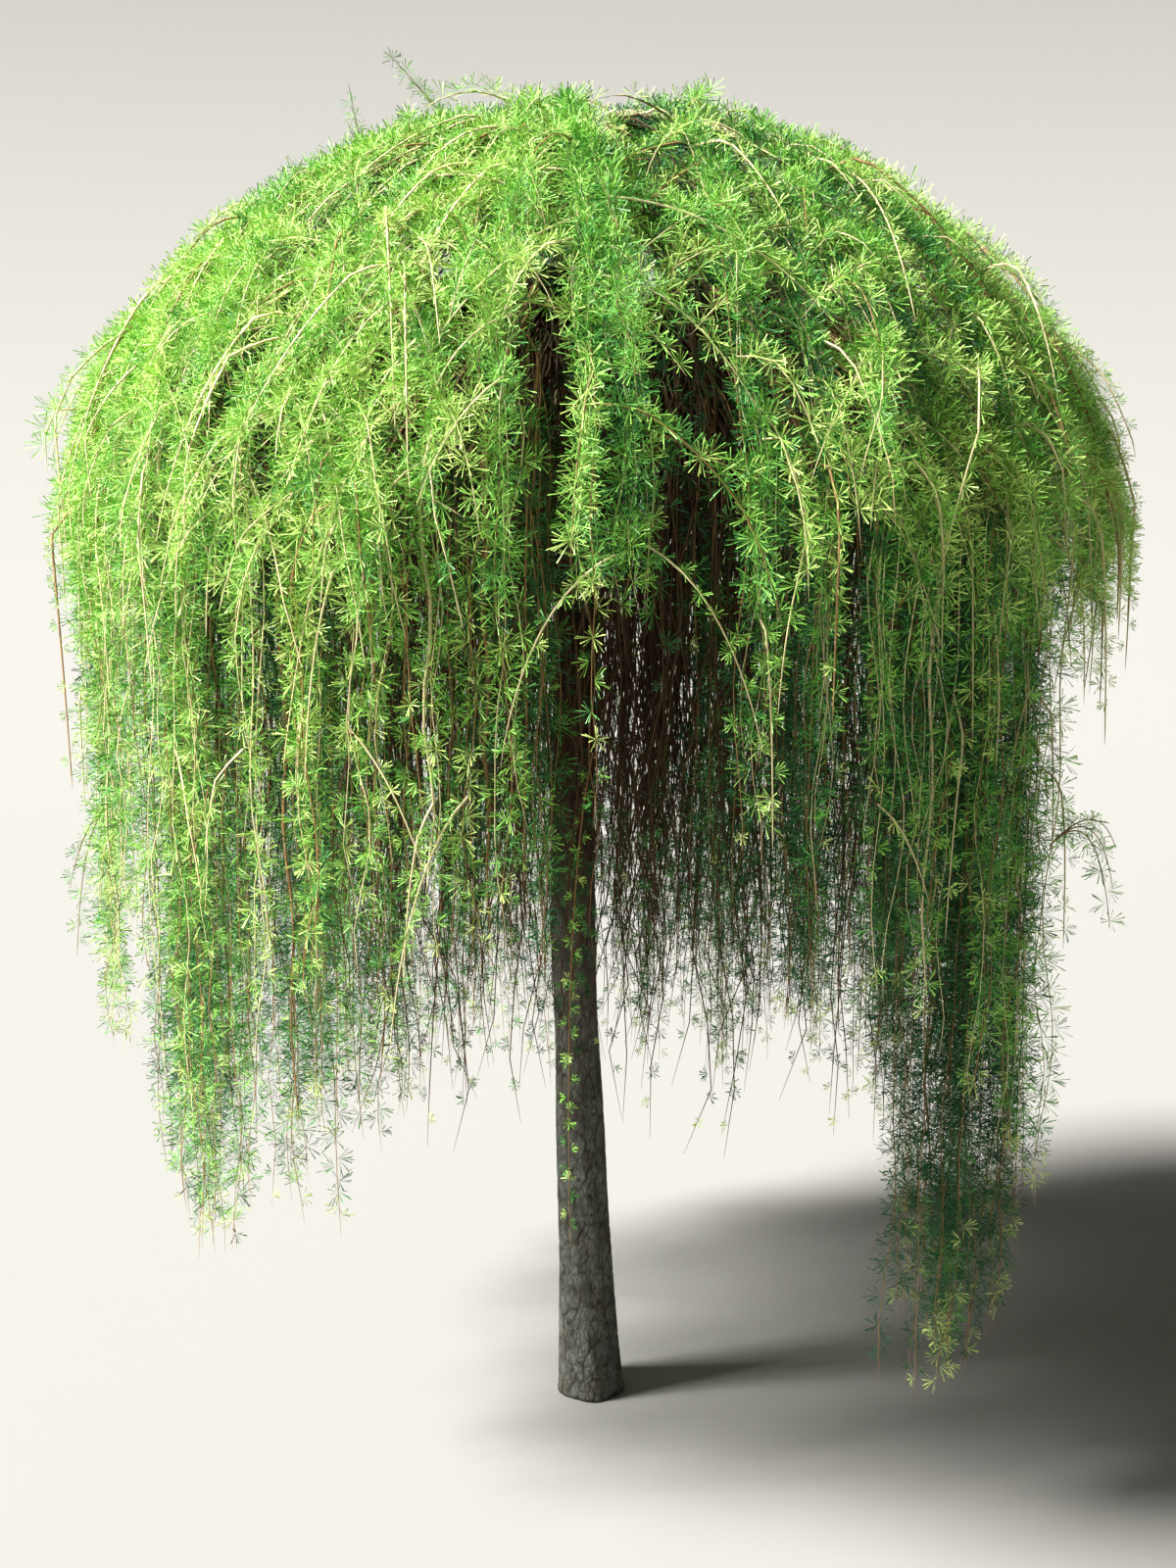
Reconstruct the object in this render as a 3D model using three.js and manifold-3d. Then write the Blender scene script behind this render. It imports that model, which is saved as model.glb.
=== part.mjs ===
// A weeping larch, grafted high on a clear stem: the trunk, its boughs, and the needled shoots that
// arch over the crown as a mantle and hang below it as curtains.
// Millimetres, +Z up. The origin is the centre of the trunk's flat foot, at ground level.
// The viewer stands on the -Y side. Angles are in degrees, anticlockwise from +X.
import * as THREE from "three";
import { mergeVertices } from "three/addons/utils/BufferGeometryUtils.js";
import Module from "manifold-3d";

const wasm = await Module();
wasm.setup();

// Crown: a dome over a round skirt of hanging shoots. Its nested shells are told by their share of
// the outer one, so share 1 is the outer surface. Shoots drop from the dome just inside its edge.
const CROWN_RADIUS = 880;
const SHOULDER_HEIGHT = 1550;
const DOME_RISE = 720;
const DOME_CURVE = 0.65;
const MANTLE_SHARE = 0.9;
const DROP_AT = 0.97;

// Trunk: its radius at the heights where its taper changes, its roots' swelling, and its lean.
const TRUNK_TAPER = [
  { height: 0, radius: 53 },
  { height: 700, radius: 39 },
  { height: 1500, radius: 33 },
  { height: 1880, radius: 17 },
];
const TRUNK_TOP = 1880;
const ROOT_FLARE = 8;
const FLARE_HEIGHT = 90;
const ROOT_LOBES = 5;
const LOBE_SHARE = 0.35;
const TRUNK_LEAN = -31;
const TRUNK_BEND = 2200;
const TRUNK_SIDES = 16;
const TRUNK_RINGS = 15;
const RING_CROWDING = 1.5;

// Boughs, and the clear gap kept between two pieces that meet.
const GAP = 0.3;
const BOUGH_SIDES = 5;
const BOUGH_STEPS = 6;
const BOUGH_START_PULL = 0.38;

// Shoots: three-sided twigs whose corners stand out in turn as sprays of needles. A shoot arches
// over the crown in even steps, then hangs with a slight sway.
const STEM_RADIUS = [7.5, 3];
const TWIG_RADIUS = [4.6, 2.2];
const ARCH_STEPS = 12;
const HANG_STEP = 60;
const SWAY_WAVE = 620;
const SWAY_SIZE = [3, 10];
const SWAY_DRIFT = 0.03;
const SPREAD = 4;
const FIRST_BRANCH = 24;
const LAST_BRANCH_SHARE = 0.8;
const STEM_TIP_SHARE = 0.3;
const LEAST_ARCH = 60;
const EDGE_MARGIN = 0.03;
const RAGGED_BIAS = 1.7;
const SHOOT_DISTANCE = 62;
const STEPS_BEFORE_APART = 3;
const TRIES = 400;
const SIDE_CLEARANCE = 2;

// Sprays: two corners stand out on every other ring of a shoot and the third on the rest, turned
// about the twig in radians and swept along it by a share of their spacing.
const SPRAY_SPACING = 86;
const BARE_SPACING = 190;
const SPRAY_LENGTH = { dome: 46, hanging: 38 };
const SPRAY_VARIATION = [0.8, 1.15];
const TIP_SPRAY_SHARE = 0.6;
const SPRAY_DISTANCE = 35;
const LIMB_CLEARANCE = 4;
const RING_SPRAYS = [
  [
    { corner: 0, turn: -0.3, sweep: 0.62 },
    { corner: 1, turn: 0.3, sweep: 0.32 },
  ],
  [{ corner: 2, turn: 0, sweep: 0.5 }],
];

// The two kinds of mass. Each has its boughs' heights on the trunk, their rise and where they end,
// the shells its shoots drop on, how far those bow outward, and how much of each is bare.
const CURTAIN = {
  name: "curtain",
  boughName: "bough",
  tiers: [1450, 1600, 1510, 1640, 1560],
  boughRadius: [14, 8.5],
  boughRise: 58,
  boughEnd: { radius: 340, share: 0.68, pull: 0.38 },
  stemShare: 0.74,
  shares: [0.52, 0.875],
  lift: 0.02,
  stemBare: 380,
  bare: 380,
  colour: 0x4f8f2c,
};
const MANTLE = {
  name: "mantle",
  boughName: "upper_bough",
  tiers: [1695, 1790, 1730, 1815, 1715, 1800, 1745],
  boughRadius: [9.5, 7],
  boughRise: 70,
  boughEnd: { radius: 66, share: 0.935, pull: 0.06 },
  stemShare: 0.955,
  shares: [0.945, 0.975],
  lift: 0.03,
  stemBare: 0,
  bare: 80,
  colour: 0x74b63a,
};
const BARK_COLOUR = 0x6d5c4c;
const BOUGH_COLOUR = 0x8a7558;

// Curtain masses by the side they hang on: the sector's two angles, the height of the hem at each,
// how far tips end above it, and how many shoots hang beside the main one. The two longest masses
// keep to the outer shells.
const OUTER = [0.7, 0.875];
const CURTAINS = [
  { side: "front", from: -118, to: -88, hem: [900, 980], ragged: 260, shoots: 5 },
  { side: "front_right", from: -73, to: -46, hem: [960, 720], ragged: 300, shoots: 5 },
  { side: "right_front", from: -45, to: -20, hem: [240, 260], ragged: 450, shoots: 7, shares: OUTER },
  { side: "right", from: -19, to: 18, hem: [400, 560], ragged: 380, shoots: 5 },
  { side: "back_right", from: 19, to: 56, hem: [480, 400], ragged: 380, shoots: 5 },
  { side: "back", from: 57, to: 94, hem: [410, 410], ragged: 380, shoots: 5 },
  { side: "back_left", from: 95, to: 132, hem: [400, 380], ragged: 380, shoots: 5 },
  { side: "left", from: 133, to: 170, hem: [380, 460], ragged: 400, shoots: 5 },
  { side: "left_front", from: 171, to: 208, hem: [520, 360], ragged: 380, shoots: 6, shares: OUTER },
  { side: "front_left", from: 209, to: 241, hem: [380, 760], ragged: 320, shoots: 6 },
];

// Mantle masses: the same, for the shoots that lie over the crown and end on its outside.
const MANTLES = [
  { side: "front", from: -128, to: -81, hem: [850, 1150], ragged: 380, shoots: 6 },
  { side: "front_right", from: -80, to: -34, hem: [1200, 520], ragged: 330, shoots: 7 },
  { side: "right", from: -33, to: 24, hem: [1390, 1460], ragged: 120, shoots: 6 },
  { side: "back_right", from: 25, to: 77, hem: [1300, 1150], ragged: 300, shoots: 6 },
  { side: "back_left", from: 78, to: 129, hem: [1100, 1050], ragged: 350, shoots: 6 },
  { side: "left", from: 130, to: 180, hem: [1000, 850], ragged: 400, shoots: 6 },
  { side: "front_left", from: 181, to: 231, hem: [760, 700], ragged: 550, shoots: 7 },
];

// Where the crown parts at the front, no shoot hangs lower than this.
const PARTING = { from: -89, to: -73, height: 1480 };

// Single shoots that stand or arch out of a mass: from its nearest shoot, by way of one point.
const STRAY_SHOOTS = [
  { mass: "mantle_back_left", near: [-150, 300, 2200], by: [-280, 320, 2330], to: [-375, 330, 2420] },
  { mass: "mantle_left", near: [-330, 150, 2100], by: [-400, 180, 2200], to: [-420, 190, 2330] },
  { mass: "mantle_front_right", near: [680, -420, 1150], by: [735, -470, 1200], to: [755, -490, 1000] },
  { mass: "mantle_front_left", near: [-800, -130, 1120], by: [-850, -130, 1090], to: [-865, -140, 860] },
  { mass: "curtain_front", near: [-60, -660, 1300], by: [-40, -700, 1100], to: [-30, -690, 600] },
];

const X_AXIS = new THREE.Vector3(1, 0, 0);
const Z_AXIS = new THREE.Vector3(0, 0, 1);
const GOLDEN_SHARE = 0.618;
const HALVINGS = 20;
const SPRAY_SEED = 100;

// Repeatable random numbers from 0 to 1: the same seed always grows the same plant.
function seeded(seed) {
  let state = Math.imul(seed, 2654435761) >>> 0;
  return () => {
    state = (Math.imul(state, 1664525) + 1013904223) >>> 0;
    return state / 4294967296;
  };
}

function mix(a, b, t) {
  return a + (b - a) * t;
}

// Rings of corners, all of one count, joined into a closed solid with flat ends. Each four-sided
// patch is split between the two corners that stand out least, so that a spray stays a spike.
function solidFromRings(rings, standsOut = () => 0) {
  const sides = rings[0].length;
  const positions = rings.flat().flatMap((p) => [p.x, p.y, p.z]);
  const index = [];
  for (let k = 0; k + 1 < rings.length; k++) {
    for (let j = 0; j < sides; j++) {
      const next = (j + 1) % sides;
      const [a, b] = [k * sides + j, k * sides + next];
      const [c, d] = [a + sides, b + sides];
      if (standsOut(k, j) + standsOut(k + 1, next) <= standsOut(k, next) + standsOut(k + 1, j)) {
        index.push(a, b, d, a, d, c);
      } else {
        index.push(a, b, c, b, d, c);
      }
    }
  }
  const last = (rings.length - 1) * sides;
  for (let j = 1; j + 1 < sides; j++) {
    index.push(0, j + 1, j, last, last + j, last + j + 1);
  }
  const geometry = new THREE.BufferGeometry();
  geometry.setAttribute("position", new THREE.Float32BufferAttribute(positions, 3));
  geometry.setIndex(index);
  return toSolid(geometry);
}

function toSolid(geometry) {
  const merged = mergeVertices(geometry);
  return new wasm.Manifold(
    new wasm.Mesh({
      numProp: 3,
      vertProperties: merged.attributes.position.array,
      triVerts: new Uint32Array(merged.index.array),
    }),
  );
}

function toGeometry(solid) {
  const mesh = solid.getMesh();
  const geometry = new THREE.BufferGeometry();
  geometry.setAttribute("position", new THREE.BufferAttribute(mesh.vertProperties, 3));
  geometry.setIndex(new THREE.BufferAttribute(mesh.triVerts, 1));
  geometry.computeVertexNormals();
  return geometry;
}

// Several solids fused into one. A scrap that touches nothing is dropped.
function fuse(solids) {
  const whole = solids.reduce((sum, solid) => sum.add(solid));
  return whole.decompose().sort((a, b) => b.volume() - a.volume())[0];
}

// Two directions across a path at each of its points, turned as little as possible from one to the
// next, with the direction of the path itself. Its first or last direction may be given.
function framesAlong(points, ends = {}) {
  const frames = [];
  points.forEach((point, i) => {
    const before = points[Math.max(i - 1, 0)];
    const after = points[Math.min(i + 1, points.length - 1)];
    const tangent = after.clone().sub(before).normalize();
    if (i === 0 && ends.first) tangent.copy(ends.first);
    if (i === points.length - 1 && ends.last) tangent.copy(ends.last);
    const previous = i ? frames[i - 1].across : X_AXIS.clone().cross(tangent).normalize();
    const across = previous.clone().addScaledVector(tangent, -previous.dot(tangent)).normalize();
    frames.push({ point, tangent, across, beside: tangent.clone().cross(across) });
  });
  return frames;
}

function corner(frame, angle, radius) {
  return frame.point
    .clone()
    .addScaledVector(frame.across, Math.cos(angle) * radius)
    .addScaledVector(frame.beside, Math.sin(angle) * radius);
}

// A round limb along a path, tapering evenly from one radius to the other.
function taperedLimb(points, radii, sides, ends) {
  const frames = framesAlong(points, ends);
  const rings = frames.map((frame, i) => {
    const radius = mix(radii[0], radii[1], i / (frames.length - 1));
    return Array.from({ length: sides }, (_, j) => corner(frame, (j / sides) * 2 * Math.PI, radius));
  });
  return solidFromRings(rings);
}

// The lengths along a line of points at which each of them lies.
function lengthsAlong(points) {
  const reached = [0];
  for (let i = 1; i < points.length; i++) {
    reached.push(reached[i - 1] + points[i].distanceTo(points[i - 1]));
  }
  return reached;
}

// The points at the given lengths, in rising order, along a line of points.
function pointsAt(points, lengths) {
  const reached = lengthsAlong(points);
  let i = 1;
  return lengths.map((length) => {
    while (i < points.length - 1 && reached[i] < length) i++;
    const share = (length - reached[i - 1]) / (reached[i] - reached[i - 1]);
    return points[i - 1].clone().lerp(points[i], Math.min(share, 1));
  });
}

// Points along a line of points, both ends included: far apart over its bare start, then closer.
function stationsAlong(points, bareLength) {
  const total = lengthsAlong(points).pop();
  const bareCount = Math.ceil(bareLength / BARE_SPACING);
  const count = Math.max(2, Math.round((total - bareLength) / SPRAY_SPACING));
  const wanted = [];
  for (let n = 0; n < bareCount; n++) wanted.push((bareLength * n) / bareCount);
  for (let n = 0; n <= count; n++) wanted.push(mix(bareLength, total, n / count));
  return { stations: pointsAt(points, wanted), bareCount };
}

// The point at an angle and radius on one of the crown's nested shells.
function shellPoint(degrees, radius, share) {
  const angle = THREE.MathUtils.degToRad(degrees);
  const across = Math.min(radius / (CROWN_RADIUS * share), 1);
  const height = SHOULDER_HEIGHT + DOME_RISE * share * (1 - across * across) ** DOME_CURVE;
  return new THREE.Vector3(radius * Math.cos(angle), radius * Math.sin(angle), height);
}

// The shell that a point lies on, found by halving.
function shareAt(p) {
  const radius = Math.hypot(p.x, p.y);
  const floor = radius / CROWN_RADIUS;
  if (p.z <= SHOULDER_HEIGHT) return floor;
  let [low, high] = [floor, 2];
  for (let n = 0; n < HALVINGS; n++) {
    const share = (low + high) / 2;
    if (shellPoint(0, radius, share).z < p.z) low = share;
    else high = share;
  }
  return low;
}

// The trunk's centre line leans out and bends back under the crown.
function trunkCentre(height) {
  return new THREE.Vector3(TRUNK_LEAN * Math.sin((Math.PI * height) / TRUNK_BEND), 0, height);
}

function trunkRadius(height) {
  const above = TRUNK_TAPER.findIndex((step, i) => i > 0 && height <= step.height);
  const [low, high] = [TRUNK_TAPER[above - 1], TRUNK_TAPER[above]];
  return mix(low.radius, high.radius, (height - low.height) / (high.height - low.height));
}

// The trunk's solid, its rings closer together towards the foot. It is grown by a gap where other
// limbs are cut to meet it.
function trunkSolid(grown) {
  const rings = Array.from({ length: TRUNK_RINGS + 1 }, (_, i) => {
    const height = TRUNK_TOP * (i / TRUNK_RINGS) ** RING_CROWDING;
    const flare = ROOT_FLARE * Math.exp(-height / FLARE_HEIGHT);
    const end = i === 0 ? -grown : i === TRUNK_RINGS ? grown : 0;
    return Array.from({ length: TRUNK_SIDES }, (_, j) => {
      const angle = (j / TRUNK_SIDES) * 2 * Math.PI;
      const swelling = flare * (1 + LOBE_SHARE * Math.cos(ROOT_LOBES * angle + 1));
      const radius = trunkRadius(height) + swelling + grown;
      const offset = new THREE.Vector3(radius * Math.cos(angle), radius * Math.sin(angle), end);
      return trunkCentre(height).add(offset);
    });
  });
  return solidFromRings(rings);
}

// A bough rises out of the trunk and bends over to lie along a shell at its end.
function boughLine(height, middle, kind) {
  const { radius, share, pull } = kind.boughEnd;
  const from = trunkCentre(height);
  const to = shellPoint(middle, radius, share);
  const direction = shellPoint(middle, radius + 1, share).sub(to).normalize();
  const lift = THREE.MathUtils.degToRad(kind.boughRise);
  const outward = new THREE.Vector3(to.x - from.x, to.y - from.y, 0).normalize();
  const rising = outward.multiplyScalar(Math.cos(lift)).addScaledVector(Z_AXIS, Math.sin(lift));
  const length = from.distanceTo(to);
  const curve = new THREE.CubicBezierCurve3(
    from,
    from.clone().addScaledVector(rising, length * BOUGH_START_PULL),
    to.clone().addScaledVector(direction, -length * pull),
    to,
  );
  return { points: curve.getPoints(BOUGH_STEPS), radii: kind.boughRadius, end: to, direction };
}

// Whether a point keeps its distance from every limb. A limb is a line of points with a radius at
// each end.
function clearOfLimbs(p, limbs, clearance) {
  const nearest = new THREE.Vector3();
  return limbs.every(({ points, radii }) =>
    points.slice(1).every((b, i) => {
      const radius = mix(radii[0], radii[1], i / (points.length - 1));
      new THREE.Line3(points[i], b).closestPointToPoint(p, true, nearest);
      return nearest.distanceTo(p) > radius + clearance;
    }),
  );
}

// The space a mass keeps to: its sector, on its own side of the shell between mantle and curtains.
function inRoom(p, room, clearance) {
  const low = THREE.MathUtils.degToRad(room.from);
  const high = THREE.MathUtils.degToRad(room.to);
  const fromLow = p.y * Math.cos(low) - p.x * Math.sin(low);
  const fromHigh = p.x * Math.sin(high) - p.y * Math.cos(high);
  const outward = room.name === "mantle" ? 1 : -1;
  const beyondShell = (shareAt(p) - MANTLE_SHARE) * DOME_RISE * outward;
  return Math.min(fromLow, fromHigh, beyondShell) > clearance;
}

// A shoot's path: over the crown from its stem to where it drops, then down to its tip.
function weepingPath(from, drop, tipHeight, sway) {
  const startRadius = Math.hypot(from.x, from.y);
  const startAngle = THREE.MathUtils.radToDeg(Math.atan2(from.y, from.x));
  const startShare = shareAt(from);
  const turn = ((drop.angle - startAngle + 540) % 360) - 180;
  const startTilt = Math.asin(Math.min(startRadius / (CROWN_RADIUS * startShare), DROP_AT));
  const dropTilt = Math.asin(DROP_AT);
  const points = [from.clone()];
  for (let i = 1; i <= ARCH_STEPS; i++) {
    const t = i / ARCH_STEPS;
    const share = mix(startShare, drop.share, t) + drop.lift * Math.sin(Math.PI * t);
    const radius = CROWN_RADIUS * share * Math.sin(mix(startTilt, dropTilt, t));
    points.push(shellPoint(startAngle + turn * (1 - (1 - t) ** SPREAD), radius, share));
  }
  const top = points[points.length - 1];
  const fall = top.z - tipHeight;
  const steps = Math.max(1, Math.round(fall / HANG_STEP));
  const heading = THREE.MathUtils.degToRad(drop.angle + sway.heading);
  const direction = new THREE.Vector3(Math.cos(heading), Math.sin(heading), 0);
  for (let i = 1; i <= steps; i++) {
    const down = (fall * i) / steps;
    const wave = Math.sin((2 * Math.PI * down) / SWAY_WAVE + sway.phase) - Math.sin(sway.phase);
    const aside = sway.size * wave + sway.drift * down;
    points.push(top.clone().addScaledVector(direction, aside).addScaledVector(Z_AXIS, -down));
  }
  return points;
}

// A needled shoot along a path. A spray that would leave the room, or touch a limb or one of the
// points given, is skipped.
function needledShoot(path, radii, room, bareLength, random, taken, ends) {
  const { stations, bareCount } = stationsAlong(path, bareLength);
  const frames = framesAlong(stations, ends);
  const last = frames.length - 1;
  const roll = random() * 2 * Math.PI;
  const outstanding = frames.map(() => [0, 0, 0]);
  const rings = frames.map((frame, k) => {
    const radius = mix(radii[0], radii[1], k / last);
    const angles = [0, 1, 2].map((j) => roll + (j * 2 * Math.PI) / 3);
    const corners = angles.map((angle) => corner(frame, angle, radius));
    if (k <= bareCount || k === last) return corners;
    const full = frame.point.z > SHOULDER_HEIGHT ? SPRAY_LENGTH.dome : SPRAY_LENGTH.hanging;
    const length = full * mix(...SPRAY_VARIATION, random()) * mix(1, TIP_SPRAY_SHARE, (k / last) ** 3);
    for (const spray of RING_SPRAYS[k % 2]) {
      const tip = corner(frame, angles[spray.corner] + spray.turn, length);
      tip.addScaledVector(frame.tangent, SPRAY_SPACING * spray.sweep);
      const fits =
        inRoom(tip, room, SIDE_CLEARANCE) &&
        clearOfLimbs(tip, room.limbs, LIMB_CLEARANCE) &&
        taken.every((q) => tip.distanceTo(q) > SPRAY_DISTANCE);
      if (!fits) continue;
      corners[spray.corner] = tip;
      outstanding[k][spray.corner] = 1;
    }
    return corners;
  });
  return solidFromRings(rings, (k, j) => outstanding[k][j]);
}

function pathFits(path, room) {
  const clearance = TWIG_RADIUS[0] + SIDE_CLEARANCE;
  return path
    .slice(1)
    .every((p) => inRoom(p, room, clearance) && clearOfLimbs(p, room.limbs, clearance));
}

// Whether a path keeps its distance from the shoots before it, once it has left the stem.
function keepsApart(path, taken, distance) {
  return path.slice(STEPS_BEFORE_APART).every((p) => taken.every((q) => p.distanceTo(q) > distance));
}

// The height that a sector's lowest tips reach at an angle.
function hemAt(room, angle) {
  return mix(room.hem[0], room.hem[1], (angle - room.from) / (room.to - room.from));
}

// One try at the path of a mass's shoot number k. The shoots drop in turn across the sector, and one
// that drops near its edge leaves the stem early.
function drawPath(room, stemPath, k, random) {
  const across = (k + random()) / room.shoots;
  const depth = (k * GOLDEN_SHARE + random() / 2) % 1;
  const drop = {
    angle: mix(room.from, room.to, mix(EDGE_MARGIN, 1 - EDGE_MARGIN, across)),
    share: mix(...room.shares, depth),
    lift: room.lift * random(),
  };
  const sway = {
    size: mix(...SWAY_SIZE, random()),
    drift: mix(-SWAY_DRIFT, SWAY_DRIFT, random()),
    phase: random() * 2 * Math.PI,
    heading: random() * 360,
  };
  const archLength = lengthsAlong(stemPath.slice(0, ARCH_STEPS)).pop();
  const leaves = random() * (1 - Math.abs(2 * across - 1)) * LAST_BRANCH_SHARE;
  const [from] = pointsAt(stemPath, [mix(FIRST_BRANCH, archLength, leaves)]);
  const ragged = k ? room.ragged * random() ** RAGGED_BIAS : 0;
  const parted = drop.angle > PARTING.from && drop.angle < PARTING.to;
  const tipHeight = Math.max(hemAt(room, drop.angle) + ragged, parted ? PARTING.height : 0);
  const dropRadius = DROP_AT * CROWN_RADIUS * drop.share;
  if (Math.hypot(from.x, from.y) > dropRadius - LEAST_ARCH) return null;
  return weepingPath(from, drop, tipHeight, sway);
}

// The paths of one mass: its stem, which goes on from the bough, and the shoots that leave the stem
// to drop at spread places. Later tries at a shoot may come closer to the ones before it.
function drawMass(room, random) {
  const { end, direction } = room.bough;
  const start = end.clone().addScaledVector(direction, GAP);
  const drop = { angle: (room.from + room.to) / 2, share: room.stemShare, lift: 0 };
  const straight = { size: 0, drift: 0, phase: 0, heading: 0 };
  const tipHeight = hemAt(room, drop.angle) + room.ragged * STEM_TIP_SHARE;
  const stem = weepingPath(start, drop, tipHeight, straight);
  const shoots = [];
  for (let k = 0; k < room.shoots; k++) {
    for (let attempt = 0; attempt < TRIES; attempt++) {
      const path = drawPath(room, stem, k, random);
      if (!path || !pathFits(path, room)) continue;
      const taken = [stem, ...shoots].flatMap((laid) => laid.slice(1));
      if (!keepsApart(path, taken, SHOOT_DISTANCE * (1 - attempt / TRIES))) continue;
      shoots.push(path);
      break;
    }
  }
  return { stem, shoots };
}

// A single shoot out of a mass, from the nearest point of its paths.
function drawStray({ near, by, to }, paths) {
  const [start, middle, tip] = [near, by, to].map((xyz) => new THREE.Vector3(...xyz));
  const closer = (a, b) => (a.distanceTo(start) < b.distanceTo(start) ? a : b);
  const from = paths.flatMap((path) => path.slice(1)).reduce(closer);
  return new THREE.QuadraticBezierCurve3(from, middle, tip).getPoints(ARCH_STEPS);
}

// One mass as a solid: every shoot is rooted in the stem's middle and fused with it.
function massSolid(room, seed) {
  const { stem, shoots } = drawMass(room, seeded(seed));
  const random = seeded(seed + SPRAY_SEED);
  const ends = { first: room.bough.direction };
  const solids = [needledShoot(stem, STEM_RADIUS, room, room.stemBare, random, [], ends)];
  const taken = [...stem];
  for (const path of shoots) {
    solids.push(needledShoot(path, TWIG_RADIUS, room, room.bare, random, taken));
    taken.push(...path.slice(1));
  }
  for (const stray of STRAY_SHOOTS.filter(({ mass }) => mass === nodeName(room))) {
    const path = drawStray(stray, [stem, ...shoots]);
    solids.push(needledShoot(path, TWIG_RADIUS, room, 0, random, []));
  }
  return fuse(solids);
}

function nodeName(room) {
  return `${room.name}_${room.side}`;
}

function addNode(group, name, solid, colour) {
  const material = new THREE.MeshStandardMaterial({ color: colour, roughness: 0.85, metalness: 0 });
  const mesh = new THREE.Mesh(toGeometry(solid), material);
  mesh.name = name;
  group.add(mesh);
}

// The sectors of one kind, each with its kind's values, its bough, and every limb to keep off.
function roomsOf(sectors, kind, limbs) {
  return sectors.map((sector, i) => {
    const bough = boughLine(kind.tiers[i % kind.tiers.length], (sector.from + sector.to) / 2, kind);
    limbs.push(bough);
    return { ...kind, ...sector, bough, limbs };
  });
}

function buildTree() {
  const group = new THREE.Group();
  const trunkLine = [0, TRUNK_TOP / 2, TRUNK_TOP].map(trunkCentre);
  const limbs = [{ points: trunkLine, radii: [TRUNK_TAPER[0].radius, TRUNK_TAPER[1].radius] }];
  const rooms = [...roomsOf(CURTAINS, CURTAIN, limbs), ...roomsOf(MANTLES, MANTLE, limbs)];

  addNode(group, "trunk", trunkSolid(0), BARK_COLOUR);
  const trunkGrown = trunkSolid(GAP);
  for (const room of rooms) {
    const { points, radii, direction } = room.bough;
    const limb = taperedLimb(points, radii, BOUGH_SIDES, { last: direction });
    const name = `${room.boughName}_${room.side}`;
    addNode(group, name, fuse([limb.subtract(trunkGrown)]), BOUGH_COLOUR);
  }
  rooms.forEach((room, i) => addNode(group, nodeName(room), massSolid(room, i + 1), room.colour));
  return group;
}

export default buildTree();
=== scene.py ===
import math
from types import SimpleNamespace

import bpy
import numpy as np
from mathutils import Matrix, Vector


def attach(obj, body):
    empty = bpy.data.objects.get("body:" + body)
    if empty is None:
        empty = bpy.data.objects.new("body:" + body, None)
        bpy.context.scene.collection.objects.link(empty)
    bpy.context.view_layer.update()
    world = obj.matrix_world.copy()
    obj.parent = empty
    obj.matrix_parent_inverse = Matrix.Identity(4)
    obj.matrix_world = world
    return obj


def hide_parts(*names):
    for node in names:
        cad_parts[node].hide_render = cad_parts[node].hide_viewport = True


bl_info = {
    "name": "Weeping Larch",
    "version": (1, 0, 0),
    "blender": (4, 5, 0),
    "location": "3D View > Sidebar > Larch",
    "description": "Grows a weeping larch's bark, twigs and needles round its solid frame",
    "category": "Object",
}

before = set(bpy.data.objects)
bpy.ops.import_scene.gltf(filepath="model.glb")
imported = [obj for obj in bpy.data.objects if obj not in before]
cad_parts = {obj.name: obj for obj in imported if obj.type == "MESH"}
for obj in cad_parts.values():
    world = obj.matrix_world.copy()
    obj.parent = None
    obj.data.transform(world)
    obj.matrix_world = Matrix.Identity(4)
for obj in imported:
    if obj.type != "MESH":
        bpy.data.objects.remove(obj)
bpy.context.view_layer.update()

# The source's rule of growth, in metres and degrees. The crown is a dome over a skirt of hanging
# shoots, in nested shells that are told by their share of the outer one.
CROWN_RADIUS = 0.880
SHOULDER_HEIGHT = 1.550
DOME_RISE = 0.720
DOME_CURVE = 0.65
MANTLE_SHARE = 0.9
DROP_AT = 0.97

# The trunk's radius at the heights where its taper changes, its roots' swelling and its lean.
TAPER_HEIGHTS = (0.0, 0.700, 1.500, 1.880)
TAPER_RADII = (0.053, 0.039, 0.033, 0.017)
ROOT_FLARE = 0.008
FLARE_HEIGHT = 0.090
ROOT_LOBES = 5
LOBE_SHARE = 0.35
LOBE_TURN = 1
TRUNK_LEAN = -0.031
TRUNK_BEND = 2.200

# How boughs bend and how main shoots leave their stem, hang, sway and keep apart.
GAP = 0.0003
BOUGH_STEPS = 6
BOUGH_START_PULL = 0.38
TWIG_CLEARANCE = 0.0066
ARCH_STEPS = 12
HANG_STEP = 0.060
SWAY_WAVE = 0.620
SWAY_SIZE = (0.003, 0.010)
SWAY_DRIFT = 0.03
SPREAD = 4
FIRST_BRANCH = 0.024
LAST_BRANCH_SHARE = 0.8
STEM_TIP_SHARE = 0.3
LEAST_ARCH = 0.060
EDGE_MARGIN = 0.03
RAGGED_BIAS = 1.7
SHOOT_DISTANCE = 0.062
STEPS_BEFORE_APART = 3
TRIES = 400
GOLDEN_SHARE = 0.618
HALVINGS = 20
WIDEST_SHARE = 2
SHORT_STEP = 0.001

# The source's repeatable random numbers: a seed's factor, and each next number's factor and step.
SEED_FACTOR = 2654435761
DRAW_FACTOR = 1664525
DRAW_STEP = 1013904223

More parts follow.
